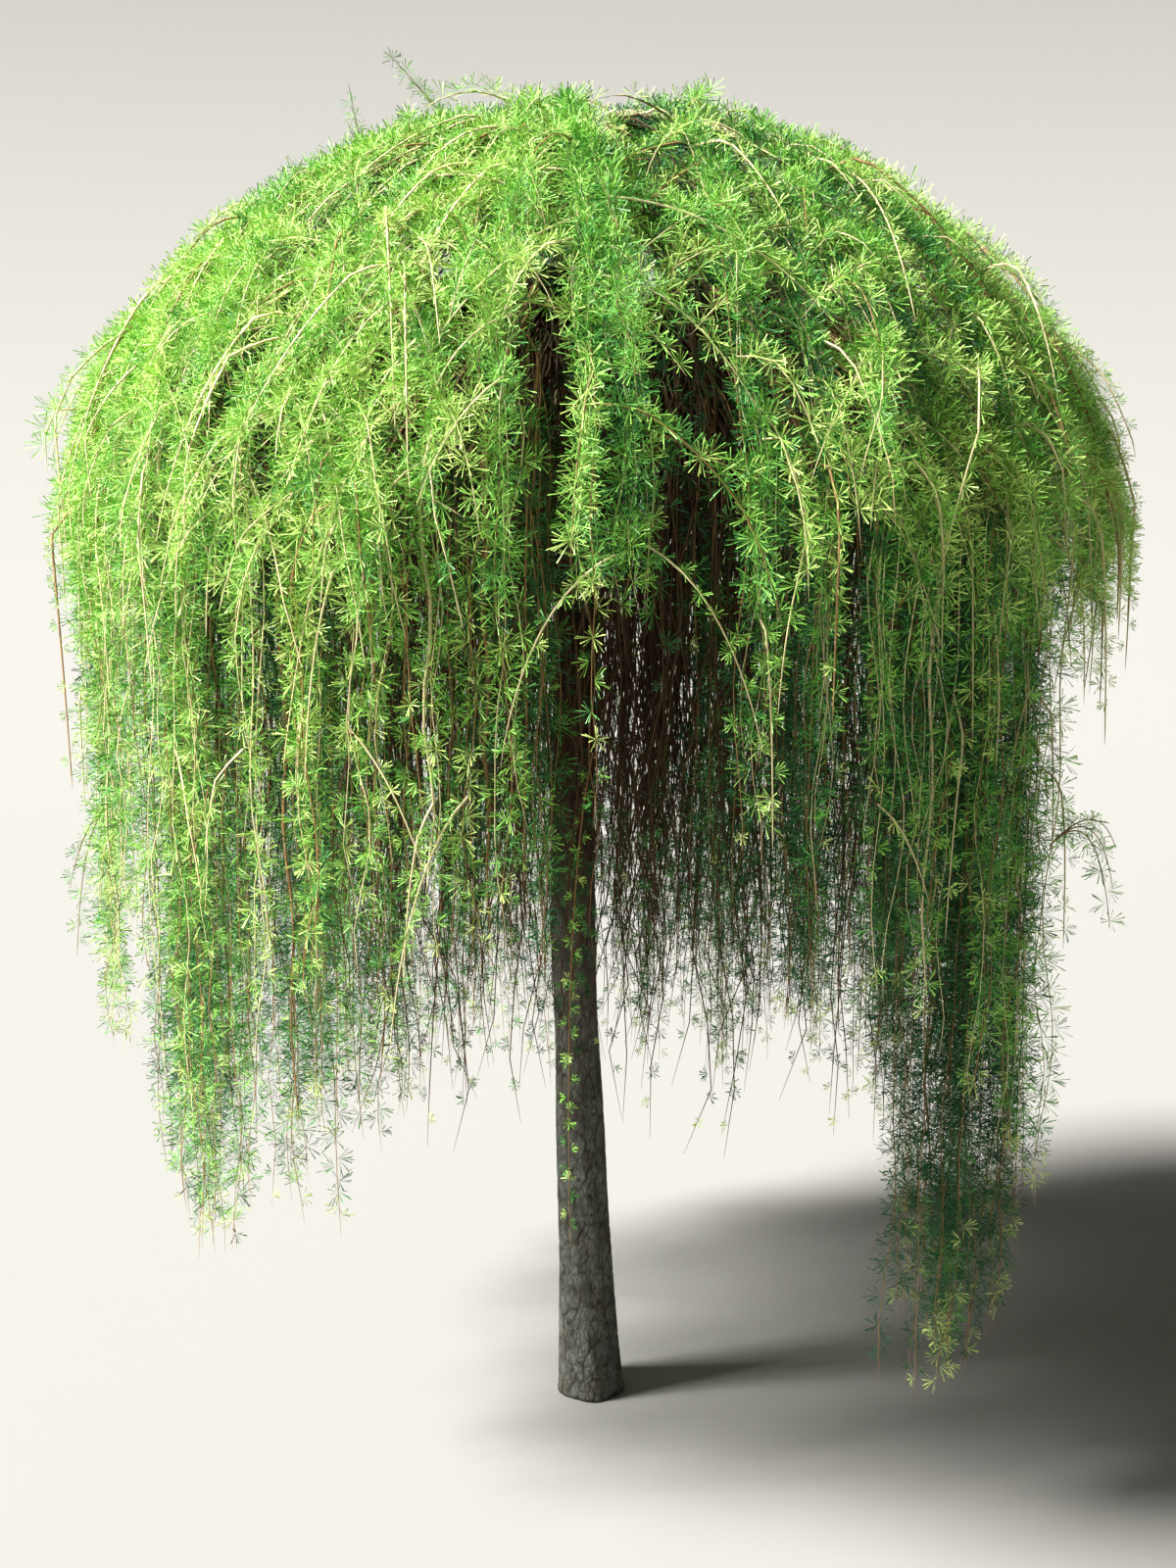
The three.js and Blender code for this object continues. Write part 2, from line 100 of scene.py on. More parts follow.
# The two kinds of mass, with their boughs, as in the source.
CURTAIN = dict(
    name="curtain",
    bough_name="bough",
    tiers=(1.450, 1.600, 1.510, 1.640, 1.560),
    bough_radius=(0.014, 0.0085),
    bough_rise=58,
    bough_end=(0.340, 0.68, 0.38),
    stem_share=0.74,
    shares=(0.52, 0.875),
    lift=0.02,
    slot="hanging_needles",
)
MANTLE = dict(
    name="mantle",
    bough_name="upper_bough",
    tiers=(1.695, 1.790, 1.730, 1.815, 1.715, 1.800, 1.745),
    bough_radius=(0.0095, 0.007),
    bough_rise=70,
    bough_end=(0.066, 0.935, 0.06),
    stem_share=0.955,
    shares=(0.945, 0.975),
    lift=0.03,
    slot="dome_needles",
)

# Each mass by the side that it hangs on: its sector's two angles, its hem at each, how far tips end
# above that, the count of its main shoots, and their shells where those aren't the kind's.
OUTER = (0.7, 0.875)
SECTOR_FIELDS = ("side", "start", "stop", "hem", "ragged", "shoots", "shares")
CURTAINS = (
    ("front", -118, -88, (0.900, 0.980), 0.260, 5),
    ("front_right", -73, -46, (0.960, 0.720), 0.300, 5),
    ("right_front", -45, -20, (0.240, 0.260), 0.450, 7, OUTER),
    ("right", -19, 18, (0.400, 0.560), 0.380, 5),
    ("back_right", 19, 56, (0.480, 0.400), 0.380, 5),
    ("back", 57, 94, (0.410, 0.410), 0.380, 5),
    ("back_left", 95, 132, (0.400, 0.380), 0.380, 5),
    ("left", 133, 170, (0.380, 0.460), 0.400, 5),
    ("left_front", 171, 208, (0.520, 0.360), 0.380, 6, OUTER),
    ("front_left", 209, 241, (0.380, 0.760), 0.320, 6),
)
MANTLES = (
    ("front", -128, -81, (0.850, 1.150), 0.380, 6),
    ("front_right", -80, -34, (1.200, 0.520), 0.330, 7),
    ("right", -33, 24, (1.390, 1.460), 0.120, 6),
    ("back_right", 25, 77, (1.300, 1.150), 0.300, 6),
    ("back_left", 78, 129, (1.100, 1.050), 0.350, 6),
    ("left", 130, 180, (1.000, 0.850), 0.400, 6),
    ("front_left", 181, 231, (0.760, 0.700), 0.550, 7),
)
PARTING = SimpleNamespace(start=-89, stop=-73, height=1.480)

# Single shoots that stand out of a mass: the places that each leaves from, bends at and ends at, how
# far along it its strands end, and how full their tufts are.
STRAY_FIELDS = ("mass", "near", "by", "to", "shares", "lush")
STRAY_SHOOTS = (
    ("mantle_back_left", (-0.15, 0.30, 2.20), (-0.28, 0.32, 2.33), (-0.375, 0.33, 2.42), (1, 0.5), 0.8),
    ("mantle_left", (-0.33, 0.15, 2.10), (-0.40, 0.18, 2.20), (-0.42, 0.19, 2.33), (1, 0.5), 0.8),
    ("mantle_front_right", (0.68, -0.42, 1.15), (0.735, -0.47, 1.2), (0.755, -0.49, 1), (1, 0.7, 0.4), 1.1),
    ("mantle_front_left", (-0.80, -0.13, 1.12), (-0.85, -0.13, 1.09), (-0.865, -0.14, 0.86), (1, 0.5), 0.8),
    ("curtain_front", (-0.06, -0.66, 1.30), (-0.04, -0.70, 1.10), (-0.03, -0.69, 0.60), (1,), 0.5),
)
STRAY_HABIT = dict(bare=0.02, spacing=0.8, tone=0.6)
STRAY_SIDE = 0.03

# What is carried finer here than in the source starts with shoots that part slowly from the main
# ones, clumped round them. Curtains are bare down to a height, and needles change from the dome's
# habit to the hanging one over a band.
FINER_SEED = 500
NEEDLE_SEED = 900
FINER_SPREAD = 2
FINER_LIFT = 0.035
FINER_TRIES = 12
ARCH_SHARE = (0.08, 0.72)
CLUMPING = 0.95
FINER_MANTLE_SHARES = (0.930, 0.958)
FINER_PARTING = SimpleNamespace(start=-93, stop=-79, height=1.480)
CURTAIN_LEAF_HEIGHT = (1.50, 1.66)
CURTAIN_BARE = (0.35, 1.0)
CURTAIN_DOME = 0.3
DOME_BASE = 1.300
BLEND_BAND = 0.300
YOUNG_SHARE = 0.80

# Inner twigs: nearly bare in the curtains, fewer and leafy under the mantles.
INNER_SHARES = (0.12, 0.80)
INNER_TIPS = (0.680, 1.120)
INNER_HABIT = dict(lush=0.6, spacing=1.8, dome=0)
INNER_BARE = (0.72, 1.0)
INNER_DRIFT = 4.5
INNER_OVERLAP = 8
UNDER_MANTLE = 0.17
UNDER_SHARES = (0.74, 0.91)
UNDER_TIPS = (1.350, 1.700)
UNDER_HABIT = dict(lush=1.0, spacing=2.0, dome=0.5)

# Free ends that arch out of the dome: their steps, how far out they may reach, where along a limb
# they start, and the gap at the front where they are thinned.
FREE_STEP = 0.028
FREE_LEAST_STEPS = 3
FREE_BARE = 0.010
FREE_REACH = 0.872
FREE_FIRST = 0.06
FREE_AHEAD = 0.98
CROWDING = 1.2
NEAR_START = 1.35
HANGING_FREE_STEPS = 9
THINNED = SimpleNamespace(start=-95, stop=-77, height=1.800, share=0.85)

# Kinds of free end, by how often each comes: the limb it leaves, how much it goes along the limb,
# out of the dome and to a side, how sharply it bends down, its length, how far it stands out, and how
# full its tufts are and how far apart.
FREE_KINDS = (
    dict(
        chance=0.14, limb="bough", along=(0.2, 1.0), lift=(0.0, 0.35), turn=1.1, bend=(3, 9),
        length=(0.10, 0.34), rise=(0.0, 0.03), lush=(0.8, 1.15), spacing=1.0,
    ),
    dict(
        chance=0.07, limb="hanging", along=(0.2, 1.0), lift=(0.15, 0.9), turn=1.1, bend=(4, 11),
        length=(0.12, 0.36), rise=(0.01, 0.04), lush=(0.6, 0.9), spacing=1.3,
    ),
    dict(
        chance=0.36, limb="arch", along=(0.1, 0.6), lift=(0.02, 0.35), turn=1.8, bend=(1.4, 4.0),
        length=(0.16, 0.38), rise=(-0.01, 0.03), lush=(0.85, 1.2), spacing=1.0,
    ),
    dict(
        chance=0.11, limb="arch", along=(0.3, 1.0), lift=(0.3, 1.0), turn=1.0, bend=(2.5, 5),
        length=(0.24, 0.48), rise=(0.03, 0.08), lush=(0.5, 0.8), spacing=1.5, radii=(0.0026, 0.0009),
    ),
    dict(
        chance=0.41, limb="arch", along=(0.1, 0.9), lift=(0.3, 1.2), turn=1.3, bend=(4, 11),
        length=(0.07, 0.24), rise=(0.01, 0.065), lush=(0.8, 1.25), spacing=1.0,
    ),
)

# Masses that differ from the rest: how many shoots and inner twigs they have for each one elsewhere,
# the chance that a strand is bushy, and how much deeper its green is, which is painted shade on the right
# side.
FULLER = {
    "curtain_right_front": dict(shoots=1.9, bushy=0.9, painted_shade=0.25),
    "curtain_front_right": dict(shoots=1.5, inner=1.3, bushy=0.55, painted_shade=0.2),
    "curtain_right": dict(inner=1.4, painted_shade=0.15),
    "curtain_front_left": dict(shoots=1.3, bushy=0.6),
    "curtain_left_front": dict(shoots=1.2, bushy=0.6),
    "mantle_front_left": dict(bushy=0.5),
    "mantle_front_right": dict(shoots=1.2, bushy=0.5, painted_shade=0.22),
    "mantle_right": dict(painted_shade=0.18),
}

# How full the tufts of a strand are and how far apart: most strands are sparse, some are bushy.
BUSHY_CHANCE = 0.38
BUSHY = SimpleNamespace(lush=(1.05, 1.35), spacing=(0.72, 0.95))
SPARSE = SimpleNamespace(lush=(0.70, 1.00), spacing=(1.00, 1.40))

# Small bends of thin shoots, and the steps that they are drawn in.
LEAST_STEPS = 4
TWIG_STEP = 0.054
INNER_STEP = 0.100
WOBBLE_SIZE = (0.002, 0.007)
WOBBLE_WAVE = (0.180, 0.460)
TANGLE = 3.0
WOBBLE_EASE = 0.150
MANTLE_TANGLE = 1.6

# Radii of the twigs at their start and end.
STEM_RADII = (0.0075, 0.0012)
SHOOT_RADII = (0.0023, 0.0007)
FINER_RADII = (0.0015, 0.0006)
FREE_RADII = (0.0021, 0.0008)
INNER_RADII = (0.0026, 0.0007)
UNDER_RADII = (0.0017, 0.0008)
TIP_RADIUS = 0.0002
TWIG_SIDES = 3
STEM_SUNK = 0.012

# How needles sit in a tuft, and how greens are dealt out: the share of a tuft's tone that comes
# from its strand, the tones at which the greens change, and how much deeper each kind of strand is,
# which is painted shade; the free ends' negative shift is painted light.
AXIS_SPREAD = 0.55
AXIS_LIFT = 1.0
TIP_TUFT = 0.62
TIP_NEEDLES = 0.75
TIP_FADE = (0.90, 1.0)
TIP_BARE = (0.0, 0.035)
STATION_SCATTER = (0.3, 1)
TONE_OF_STRAND = 0.45
TONE_STEPS = (0.36, 0.66, 0.90)
# Painted shade: deeper greens for shoots that hang inside and low in the crown; a negative value is painted
# light.
FREE_PAINTED_SHADE = -0.12
MANTLE_PAINTED_SHADE = 0.04
CURTAIN_PAINTED_SHADE = 0.40
INNER_PAINTED_SHADE = 0.5
BUD_SHARE = 0.96
BUD_CHANCE = 0.7
NEEDLE_VARIATION = (0.72, 1.12)
DOME_LEAN = (-0.12, 0.97)
HANGING_LEAN = (0.22, 0.985)
SIDE_SCATTER = 0.35
TURN_SCATTER = 0.5
LEAST_PAIRS = 2
SPUR = 0.0035
NEEDLE_DROOP = 0.06

# Bark: finely ringed as far up as it shows, and the sizes, seeds and strengths of its patterns.
TRUNK_SIDES = 88
TRUNK_RING_STEP = 0.006
PLATED_HEIGHT = 1.050
PLATE_FADE = 0.150
UPPER_TRUNK_RINGS = 30
RIPPLE_WAVES = 7
RIPPLE_TURNS = 9
RIPPLE_RISE = (2, 9)
PLATE_WANDER = 0.20
PLATE_JITTER = (0.05, 0.95)
THIN_PLATE = 0.6
ROWS_BELOW = 2
WANDER_AROUND = SimpleNamespace(rise=12, seed=5)
WANDER_UP = SimpleNamespace(rise=9, seed=6)
GROWN_TOGETHER = SimpleNamespace(rise=7, seed=8, band=(-2.0, 0.4))
PLATE_SEED = 3
FLAKE_SEED = 4
FLAKE_SCALE = 2.3
FLAKE_HEIGHT = 0.8
FLAKE_SHARE = 0.35
FLAKE_TONE = 0.45
CRACK_BAND = (0.02, 0.20)
TRUNK_WAVES = SimpleNamespace(size=0.0014, rise=2, seed=9)
FIBRE_STRETCH = 0.22
FIBRE_WIDTH = 0.0025
FIBRE_DEPTH = 0.0012
FIBRE_TONE = 0.6
FIBRE_HEIGHT = 0.4
PATCH_WIDTH = 0.045
PATCH_TONE = 0.7
FLAKE_WIDTH = 0.011
FLAKE_STRETCH = 0.5
# Flake edges are drawn in the crack colour: partly painted shade in the fine cracks.
FLAKE_EDGE = 0.14
FLAKE_RAGGED = 0.004
FLAKE_CRACKS = 0.42
BARK_BUMP = 0.7
# Between these heights the bark darkens to its browner upper colour: partly painted shade of the crown.
BROWN_FROM = (0.650, 1.150)
STREAK_WIDTH = 0.006
STREAK_DEPTH = 0.0008
STREAK_SHADE = 0.55
STREAK_BUMP = 0.5
BOUGH_RINGS = 30
BOUGH_SIDES = 12
BOUGH_COLLAR = 0.006
COLLAR_LENGTH = 0.018
BOUGH_RIPPLE = SimpleNamespace(size=0.0005, around=3, twist=17, along=41)

# The studio: a floor that sweeps up behind, the camera's place and the two soft lights.
FLOOR_SIZE = 40
SWEEP_AWAY = 5.0
SWEEP_RADIUS = 14.0
SWEEP_STEPS = 32
SWEEP_HEIGHT = 20.0
CAMERA_ASIDE = -0.0055
KEY_FROM = (-0.89, -0.19, 0.90)
KEY_SOFTNESS = math.radians(13)
FILL_FROM = (-0.5, -0.9, 0.6)
FILL_SOFTNESS = math.radians(40)
UP = np.array((0.0, 0.0, 1.0))
GOLDEN_ANGLE = math.pi * (3 - math.sqrt(5))
GREENS = ("lime", "fresh", "mid", "deep", "bud")
BARKS = ("straw", "tan", "brown")


def linear(colour):
    """An sRGB hex colour as linear red, green and blue."""
    channels = ((colour >> shift & 255) / 255 for shift in (16, 8, 0))
    return tuple(c / 12.92 if c <= 0.04045 else ((c + 0.055) / 1.055) ** 2.4 for c in channels)


def colour_property(name, description, colour):
    return bpy.props.FloatVectorProperty(
        name=name, description=description, subtype="COLOR", size=3, min=0, max=1, default=linear(colour)
    )


def number_property(name, description, value, **settings):
    return bpy.props.FloatProperty(name=name, description=description, default=value, **settings)


def length_property(name, description, metres):
    return number_property(name, description, metres, unit="LENGTH", min=0)


def count_property(name, description, count):
    return number_property(name, description, count, min=0)


def tuft_property(name, description, count):
    return bpy.props.IntProperty(name=name, description=description, default=count, min=LEAST_PAIRS * 2)


class LarchWood(bpy.types.PropertyGroup):
    """Sizes and colours of the trunk's and boughs' bark."""

    relief: length_property("Relief", "How deep the cracks between bark plates are", 0.0018)
    plate_width: length_property("Plate width", "Width of a bark plate", 0.018)
    plate_height: length_property("Plate height", "Height of a bark plate", 0.036)
    plate_colour: colour_property("Plates", "Weathered face of a bark plate", 0x848982)
    worn_colour: colour_property("Worn plates", "Face of a plate that has lost its outer flake", 0x6D6A61)
    # Upper bark is partly painted shade: darker and browner where the crown shades the trunk.
    upper_colour: colour_property("Upper bark", "Sheltered bark under the crown", 0x5C4637)
    # The crack colour is partly painted shade: the cracks are darkened beyond the bark's own colour.
    crack_colour: colour_property("Cracks", "Depth of the cracks", 0x4B463E)
    bough_colour: colour_property("Boughs", "Younger bark of the boughs", 0x7D654A)


class LarchTwigs(bpy.types.PropertyGroup):
    """How many shoots grow in the crown, and their bark."""

    mantle_shoots: count_property("Mantle shoots", "Finer shoots for each degree of a mantle", 0.55)
    curtain_shoots: count_property("Curtain shoots", "Finer shoots for each degree of a curtain", 0.90)
    free_ends: count_property("Free ends", "Short arching ends for each degree of a mantle", 3.7)
    inner_twigs: count_property("Inner twigs", "Inner twigs for each degree of a curtain", 3.10)
    # Barks dealt by place: straw on the sunny outside is partly painted light, tan in the curtains and
    # brown inside partly painted shade.
    straw_colour: colour_property("Straw", "Young shoots on the sunny outside", 0xE2D2A6)
    tan_colour: colour_property("Tan", "Shoots that hang in the curtains", 0xA5835A)
    brown_colour: colour_property("Brown", "Older twigs inside the crown", 0x5E4631)


class LarchNeedles(bpy.types.PropertyGroup):
    """Sizes and greens of the needle tufts."""

    dome_length: length_property("Dome needles", "Longest needles, on the dome", 0.026)
    hanging_length: length_property("Hanging needles", "Longest needles on the hanging shoots", 0.023)
    width: length_property("Width", "Needle width, larger than life because they are fewer", 0.0016)
    free_spacing: length_property("Free spacing", "Distance between tufts on the free ends", 0.0215)
    dome_spacing: length_property("Dome spacing", "Distance between tufts on the dome's arches", 0.026)
    hanging_spacing: length_property("Hanging spacing", "Distance between tufts on hanging shoots", 0.026)
    dome_count: tuft_property("Dome tufts", "Needles in a tuft on the dome", 21)
    hanging_count: tuft_property("Hanging tufts", "Needles in a tuft on a hanging shoot", 16)
    # The greens are paler than the needles' own, lime palest: painted light and painted highlight that
    # stand in for light through the needles.
    lime_colour: colour_property("Lime", "Newest tufts, in full light", 0xCDEB86)
    fresh_colour: colour_property("Fresh", "Most of the outer tufts", 0x9ED765)
    # Mid and deep go mostly to the curtains and inner twigs as painted shade; lime goes most to the free
    # ends as painted light.
    mid_colour: colour_property("Mid", "Fuller tufts lower down", 0x5FA54D)
    deep_colour: colour_property("Deep", "Inner and lower tufts, bluish", 0x2F6B3C)
    bud_colour: colour_property("Bud", "Small opening tufts at the tips", 0xD3E88C)


class LarchStudio(bpy.types.PropertyGroup):
    """Camera, floor and light."""

    distance: length_property("Camera distance", "From the trunk's foot, on the -Y side", 2.80)
    height: length_property("Camera height", "Above the ground", 1.61)
    pitch: number_property("Pitch", "Downward tilt of the camera", math.radians(9.71), unit="ROTATION")
    lens: number_property("Lens", "Focal length in mm on a 36 mm frame", 37.5)
    floor_colour: colour_property("Floor", "Pale paper floor", 0xA6A49F)
    key_strength: number_property("Key", "Strength of the key light", 8.4)
    fill_strength: number_property("Fill", "Strength of the fill light", 0.09)
    sky_strength: number_property("Surround", "Strength of the pale surround", 0.13)


def mix(a, b, t):
    return a + (b - a) * t


def smooth_step(low, high, value):
    t = np.clip((value - low) / (high - low), 0, 1)
    return t * t * (3 - 2 * t)


def unit(vectors):
    return vectors / np.linalg.norm(vectors, axis=-1, keepdims=True)


class Draws:
    """The source's repeatable random numbers from 0 to 1."""

    def __init__(self, seed):
        self.state = seed * SEED_FACTOR % 2**32

    def __call__(self):
        self.state = (self.state * DRAW_FACTOR + DRAW_STEP) % 2**32
        return self.state / 2**32


def shell_points(degrees, radius, share):
    """Points at an angle and radius on the crown's nested shells."""
    degrees, radius, share = np.broadcast_arrays(degrees, radius, share)
    angle = np.radians(degrees)
    across = np.minimum(radius / (CROWN_RADIUS * share), 1)
    height = SHOULDER_HEIGHT + DOME_RISE * share * (1 - across**2) ** DOME_CURVE
    return np.stack([radius * np.cos(angle), radius * np.sin(angle), height], axis=-1)


def share_at(points):
    """The shell that each point lies on, found by halving."""
    radius = np.hypot(points[..., 0], points[..., 1])
    low = radius / CROWN_RADIUS
    high = np.full_like(low, WIDEST_SHARE)
    floor = low.copy()
    for _ in range(HALVINGS):
        share = (low + high) / 2
        under = shell_points(0, radius, share)[..., 2] < points[..., 2]
        low = np.where(under, share, low)
        high = np.where(under, high, share)
    return np.where(points[..., 2] <= SHOULDER_HEIGHT, floor, low)


def trunk_centre(height):
    height = np.asarray(height, float)
    lean = TRUNK_LEAN * np.sin(np.pi * height / TRUNK_BEND)
    return np.stack([lean, np.zeros_like(height), height], axis=-1)


def curve_points(controls, steps):
    """Evenly stepped points on the Bezier curve through three or four control points."""
    t = np.linspace(0, 1, steps + 1)[:, None]
    points = [np.asarray(control, float) for control in controls]
    while len(points) > 1:
        points = [mix(a, b, t) for a, b in zip(points, points[1:])]
    return points[0]


def bough_line(height, middle, kind):
    """A bough rises out of the trunk and bends over to lie along a shell at its end."""
    radius, share, pull = kind["bough_end"]
    start = trunk_centre(height)
    end = shell_points(middle, radius, share)
    direction = unit(shell_points(middle, radius + SHORT_STEP, share) - end)
    lift = math.radians(kind["bough_rise"])
    outward = unit((end - start) * (1, 1, 0))
    rising = outward * math.cos(lift) + UP * math.sin(lift)
    length = np.linalg.norm(end - start)
    controls = (start, start + rising * length * BOUGH_START_PULL, end - direction * length * pull, end)
    points = curve_points(controls, BOUGH_STEPS)
    return SimpleNamespace(
        controls=controls, points=points, radii=kind["bough_radius"], end=end, direction=direction
    )


def rooms_of(sectors, kind):
    """The sectors of one kind, each with its kind's values and its bough."""
    rooms = []
    for i, sector in enumerate(sectors):
        room = SimpleNamespace(**{**kind, **dict(zip(SECTOR_FIELDS, sector))})
        room.node = f"{room.name}_{room.side}"
        room.bough_node = f"{room.bough_name}_{room.side}"
        room.bough = bough_line(kind["tiers"][i % len(kind["tiers"])], (room.start + room.stop) / 2, kind)
        rooms.append(room)
    return rooms


def limb_segments(limbs):
    """Every limb's straight steps: where each starts, what it spans and its radius."""
    starts, spans, radii = [], [], []
    for points, (first, last) in limbs:
        for i in range(len(points) - 1):
            starts.append(points[i])
            spans.append(points[i + 1] - points[i])
            radii.append(mix(first, last, i / (len(points) - 1)))
    return np.array(starts), np.array(spans), np.array(radii)


ROOMS = rooms_of(CURTAINS, CURTAIN) + rooms_of(MANTLES, MANTLE)
TRUNK_LINE = trunk_centre([0, TAPER_HEIGHTS[-1] / 2, TAPER_HEIGHTS[-1]])
LIMBS = limb_segments([(TRUNK_LINE, TAPER_RADII[:2])] + [(r.bough.points, r.bough.radii) for r in ROOMS])


def clear_of_limbs(points, clearance):
    """Whether every point keeps its distance from every limb."""
    starts, spans, radii = LIMBS
    offsets = points[:, None, :] - starts
    share = np.clip((offsets * spans).sum(-1) / (spans**2).sum(-1), 0, 1)
    distance = np.linalg.norm(offsets - share[..., None] * spans, axis=-1)
    return bool((distance > radii + clearance).all())


def in_room(points, room, clearance):
    """Whether every point keeps to the mass's sector and side of the shell between the kinds."""
    x, y = points[:, 0], points[:, 1]
    low, high = math.radians(room.start), math.radians(room.stop)
    from_low = y * math.cos(low) - x * math.sin(low)
    from_high = x * math.sin(high) - y * math.cos(high)
    outward = 1 if room.name == "mantle" else -1
    beyond = (share_at(points) - MANTLE_SHARE) * DOME_RISE * outward
    return bool(min(from_low.min(), from_high.min(), beyond.min()) > clearance)


def lengths_along(points):
    steps = np.linalg.norm(np.diff(points, axis=0), axis=1)
    return np.concatenate([[0], np.cumsum(steps)])


def points_at(points, lengths):
    """The points at the given lengths along a line of points."""
    reached = lengths_along(points)
    return np.stack([np.interp(lengths, reached, points[:, i]) for i in range(3)], axis=-1)


def weeping_path(shoot, finer=1):
    """A shoot's points: over the crown from its stem to where it drops, then down to its tip."""
    start_radius = math.hypot(shoot.start[0], shoot.start[1])
    start_angle = math.degrees(math.atan2(shoot.start[1], shoot.start[0]))
    start_share = float(share_at(shoot.start))
    turn = ((shoot.angle - start_angle + 540) % 360) - 180
    start_tilt = math.asin(min(start_radius / (CROWN_RADIUS * start_share), DROP_AT))
    t = np.arange(1, ARCH_STEPS * finer + 1) / (ARCH_STEPS * finer)
    share = mix(start_share, shoot.share, t) + shoot.lift * np.sin(np.pi * t)
    radius = CROWN_RADIUS * share * np.sin(mix(start_tilt, math.asin(DROP_AT), t))
    arch = shell_points(start_angle + turn * (1 - (1 - t) ** shoot.spread), radius, share)
    top = arch[-1]
    fall = top[2] - shoot.tip_height
    steps = max(1, round(fall / HANG_STEP)) * finer
    down = fall * np.arange(1, steps + 1) / steps
    heading = math.radians(shoot.angle + shoot.heading)
    direction = np.array((math.cos(heading), math.sin(heading), 0))
    wave = np.sin(2 * np.pi * down / SWAY_WAVE + shoot.phase) - math.sin(shoot.phase)
    aside = shoot.sway * wave + shoot.drift * down
    hang = top + direction * aside[:, None] - UP * down[:, None]
    return np.vstack([shoot.start, arch, hang])


def path_fits(path, room):
    return in_room(path[1:], room, TWIG_CLEARANCE) and clear_of_limbs(path[1:], TWIG_CLEARANCE)


def keeps_apart(path, taken, distance):
    """Whether a path keeps its distance from the points given, once it has left the stem."""
    gaps = path[STEPS_BEFORE_APART:, None, :] - taken
    return bool((np.linalg.norm(gaps, axis=-1) > distance).all())


def hem_at(room, angle):
    return mix(*room.hem, (angle - room.start) / (room.stop - room.start))


def lowest_tip(room, angle, ragged, parting=PARTING):
    parted = parting.start < angle < parting.stop
    return max(hem_at(room, angle) + ragged, parting.height if parted else 0)


def draw_sway(draws):
    return dict(
        sway=mix(*SWAY_SIZE, draws()),
        drift=mix(-SWAY_DRIFT, SWAY_DRIFT, draws()),
        phase=draws() * 2 * math.pi,
        heading=draws() * 360,
    )


def draw_main_shoot(room, stem, k, draws):
    """One try at main shoot number k of a mass, as in the source."""
    across = (k + draws()) / room.shoots
    depth = (k * GOLDEN_SHARE + draws() / 2) % 1
    angle = mix(room.start, room.stop, mix(EDGE_MARGIN, 1 - EDGE_MARGIN, across))
    lift = room.lift * draws()
    shoot = SimpleNamespace(angle=angle, share=mix(*room.shares, depth), lift=lift, spread=SPREAD)
    vars(shoot).update(draw_sway(draws))
    arch_length = lengths_along(stem.path[:ARCH_STEPS])[-1]
    leaves = draws() * (1 - abs(2 * across - 1)) * LAST_BRANCH_SHARE
    shoot.start = points_at(stem.path, [mix(FIRST_BRANCH, arch_length, leaves)])[0]
    ragged = room.ragged * draws() ** RAGGED_BIAS if k else 0
    shoot.tip_height = lowest_tip(room, angle, ragged)
    return shoot


def has_arch(shoot):
    drop_radius = DROP_AT * CROWN_RADIUS * shoot.share
    return math.hypot(shoot.start[0], shoot.start[1]) <= drop_radius - LEAST_ARCH


def grow_main(room, seed):
    """The source's stem and main shoots of one mass."""
    draws = Draws(seed)
    middle = (room.start + room.stop) / 2
    stem = SimpleNamespace(
        start=room.bough.end + room.bough.direction * GAP,
        angle=middle,
        share=room.stem_share,
        lift=0,
        spread=SPREAD,
        sway=0,
        drift=0,
        phase=0,
        heading=0,
        tip_height=hem_at(room, middle) + room.ragged * STEM_TIP_SHARE,
    )
    stem.path = weeping_path(stem)
    shoots = []
    for k in range(room.shoots):
        for attempt in range(TRIES):
            shoot = draw_main_shoot(room, stem, k, draws)
            if not has_arch(shoot):
                continue
            shoot.path = weeping_path(shoot)
            if not path_fits(shoot.path, room):
                continue
            taken = np.vstack([laid.path[1:] for laid in (stem, *shoots)])
            if keeps_apart(shoot.path, taken, SHOOT_DISTANCE * (1 - attempt / TRIES)):
                shoots.append(shoot)
                break
    return stem, shoots


def grow_finer(room, parents, count, draws):
    """Shoots that leave the main shoots by the same rule and part from them slowly."""
    shoots = []
    for k in range(count):
        for _ in range(FINER_TRIES):
            across = (k + draws()) / count
            angle = mix(room.start, room.stop, mix(EDGE_MARGIN, 1 - EDGE_MARGIN, across))
            parent = min(parents, key=lambda laid: abs(laid.angle - angle))
            angle = mix(angle, parent.angle, CLUMPING * draws())
            shares = FINER_MANTLE_SHARES if room.name == "mantle" else room.shares
            shoot = SimpleNamespace(
                angle=angle, share=mix(*shares, draws()), lift=FINER_LIFT * draws(), spread=FINER_SPREAD
            )
            vars(shoot).update(draw_sway(draws))
            shoot.tip_height = lowest_tip(room, angle, room.ragged * draws() ** RAGGED_BIAS, FINER_PARTING)
            arch = lengths_along(parent.path[: ARCH_STEPS + 1])[-1]
            shoot.start = points_at(parent.path, [arch * mix(*ARCH_SHARE, draws())])[0]
            if not has_arch(shoot):
                continue
            shoot.path = weeping_path(shoot)
            if in_room(shoot.path[2:], room, 0) and clear_of_limbs(shoot.path[1:], 0):
                shoots.append(shoot)
                break
    return shoots


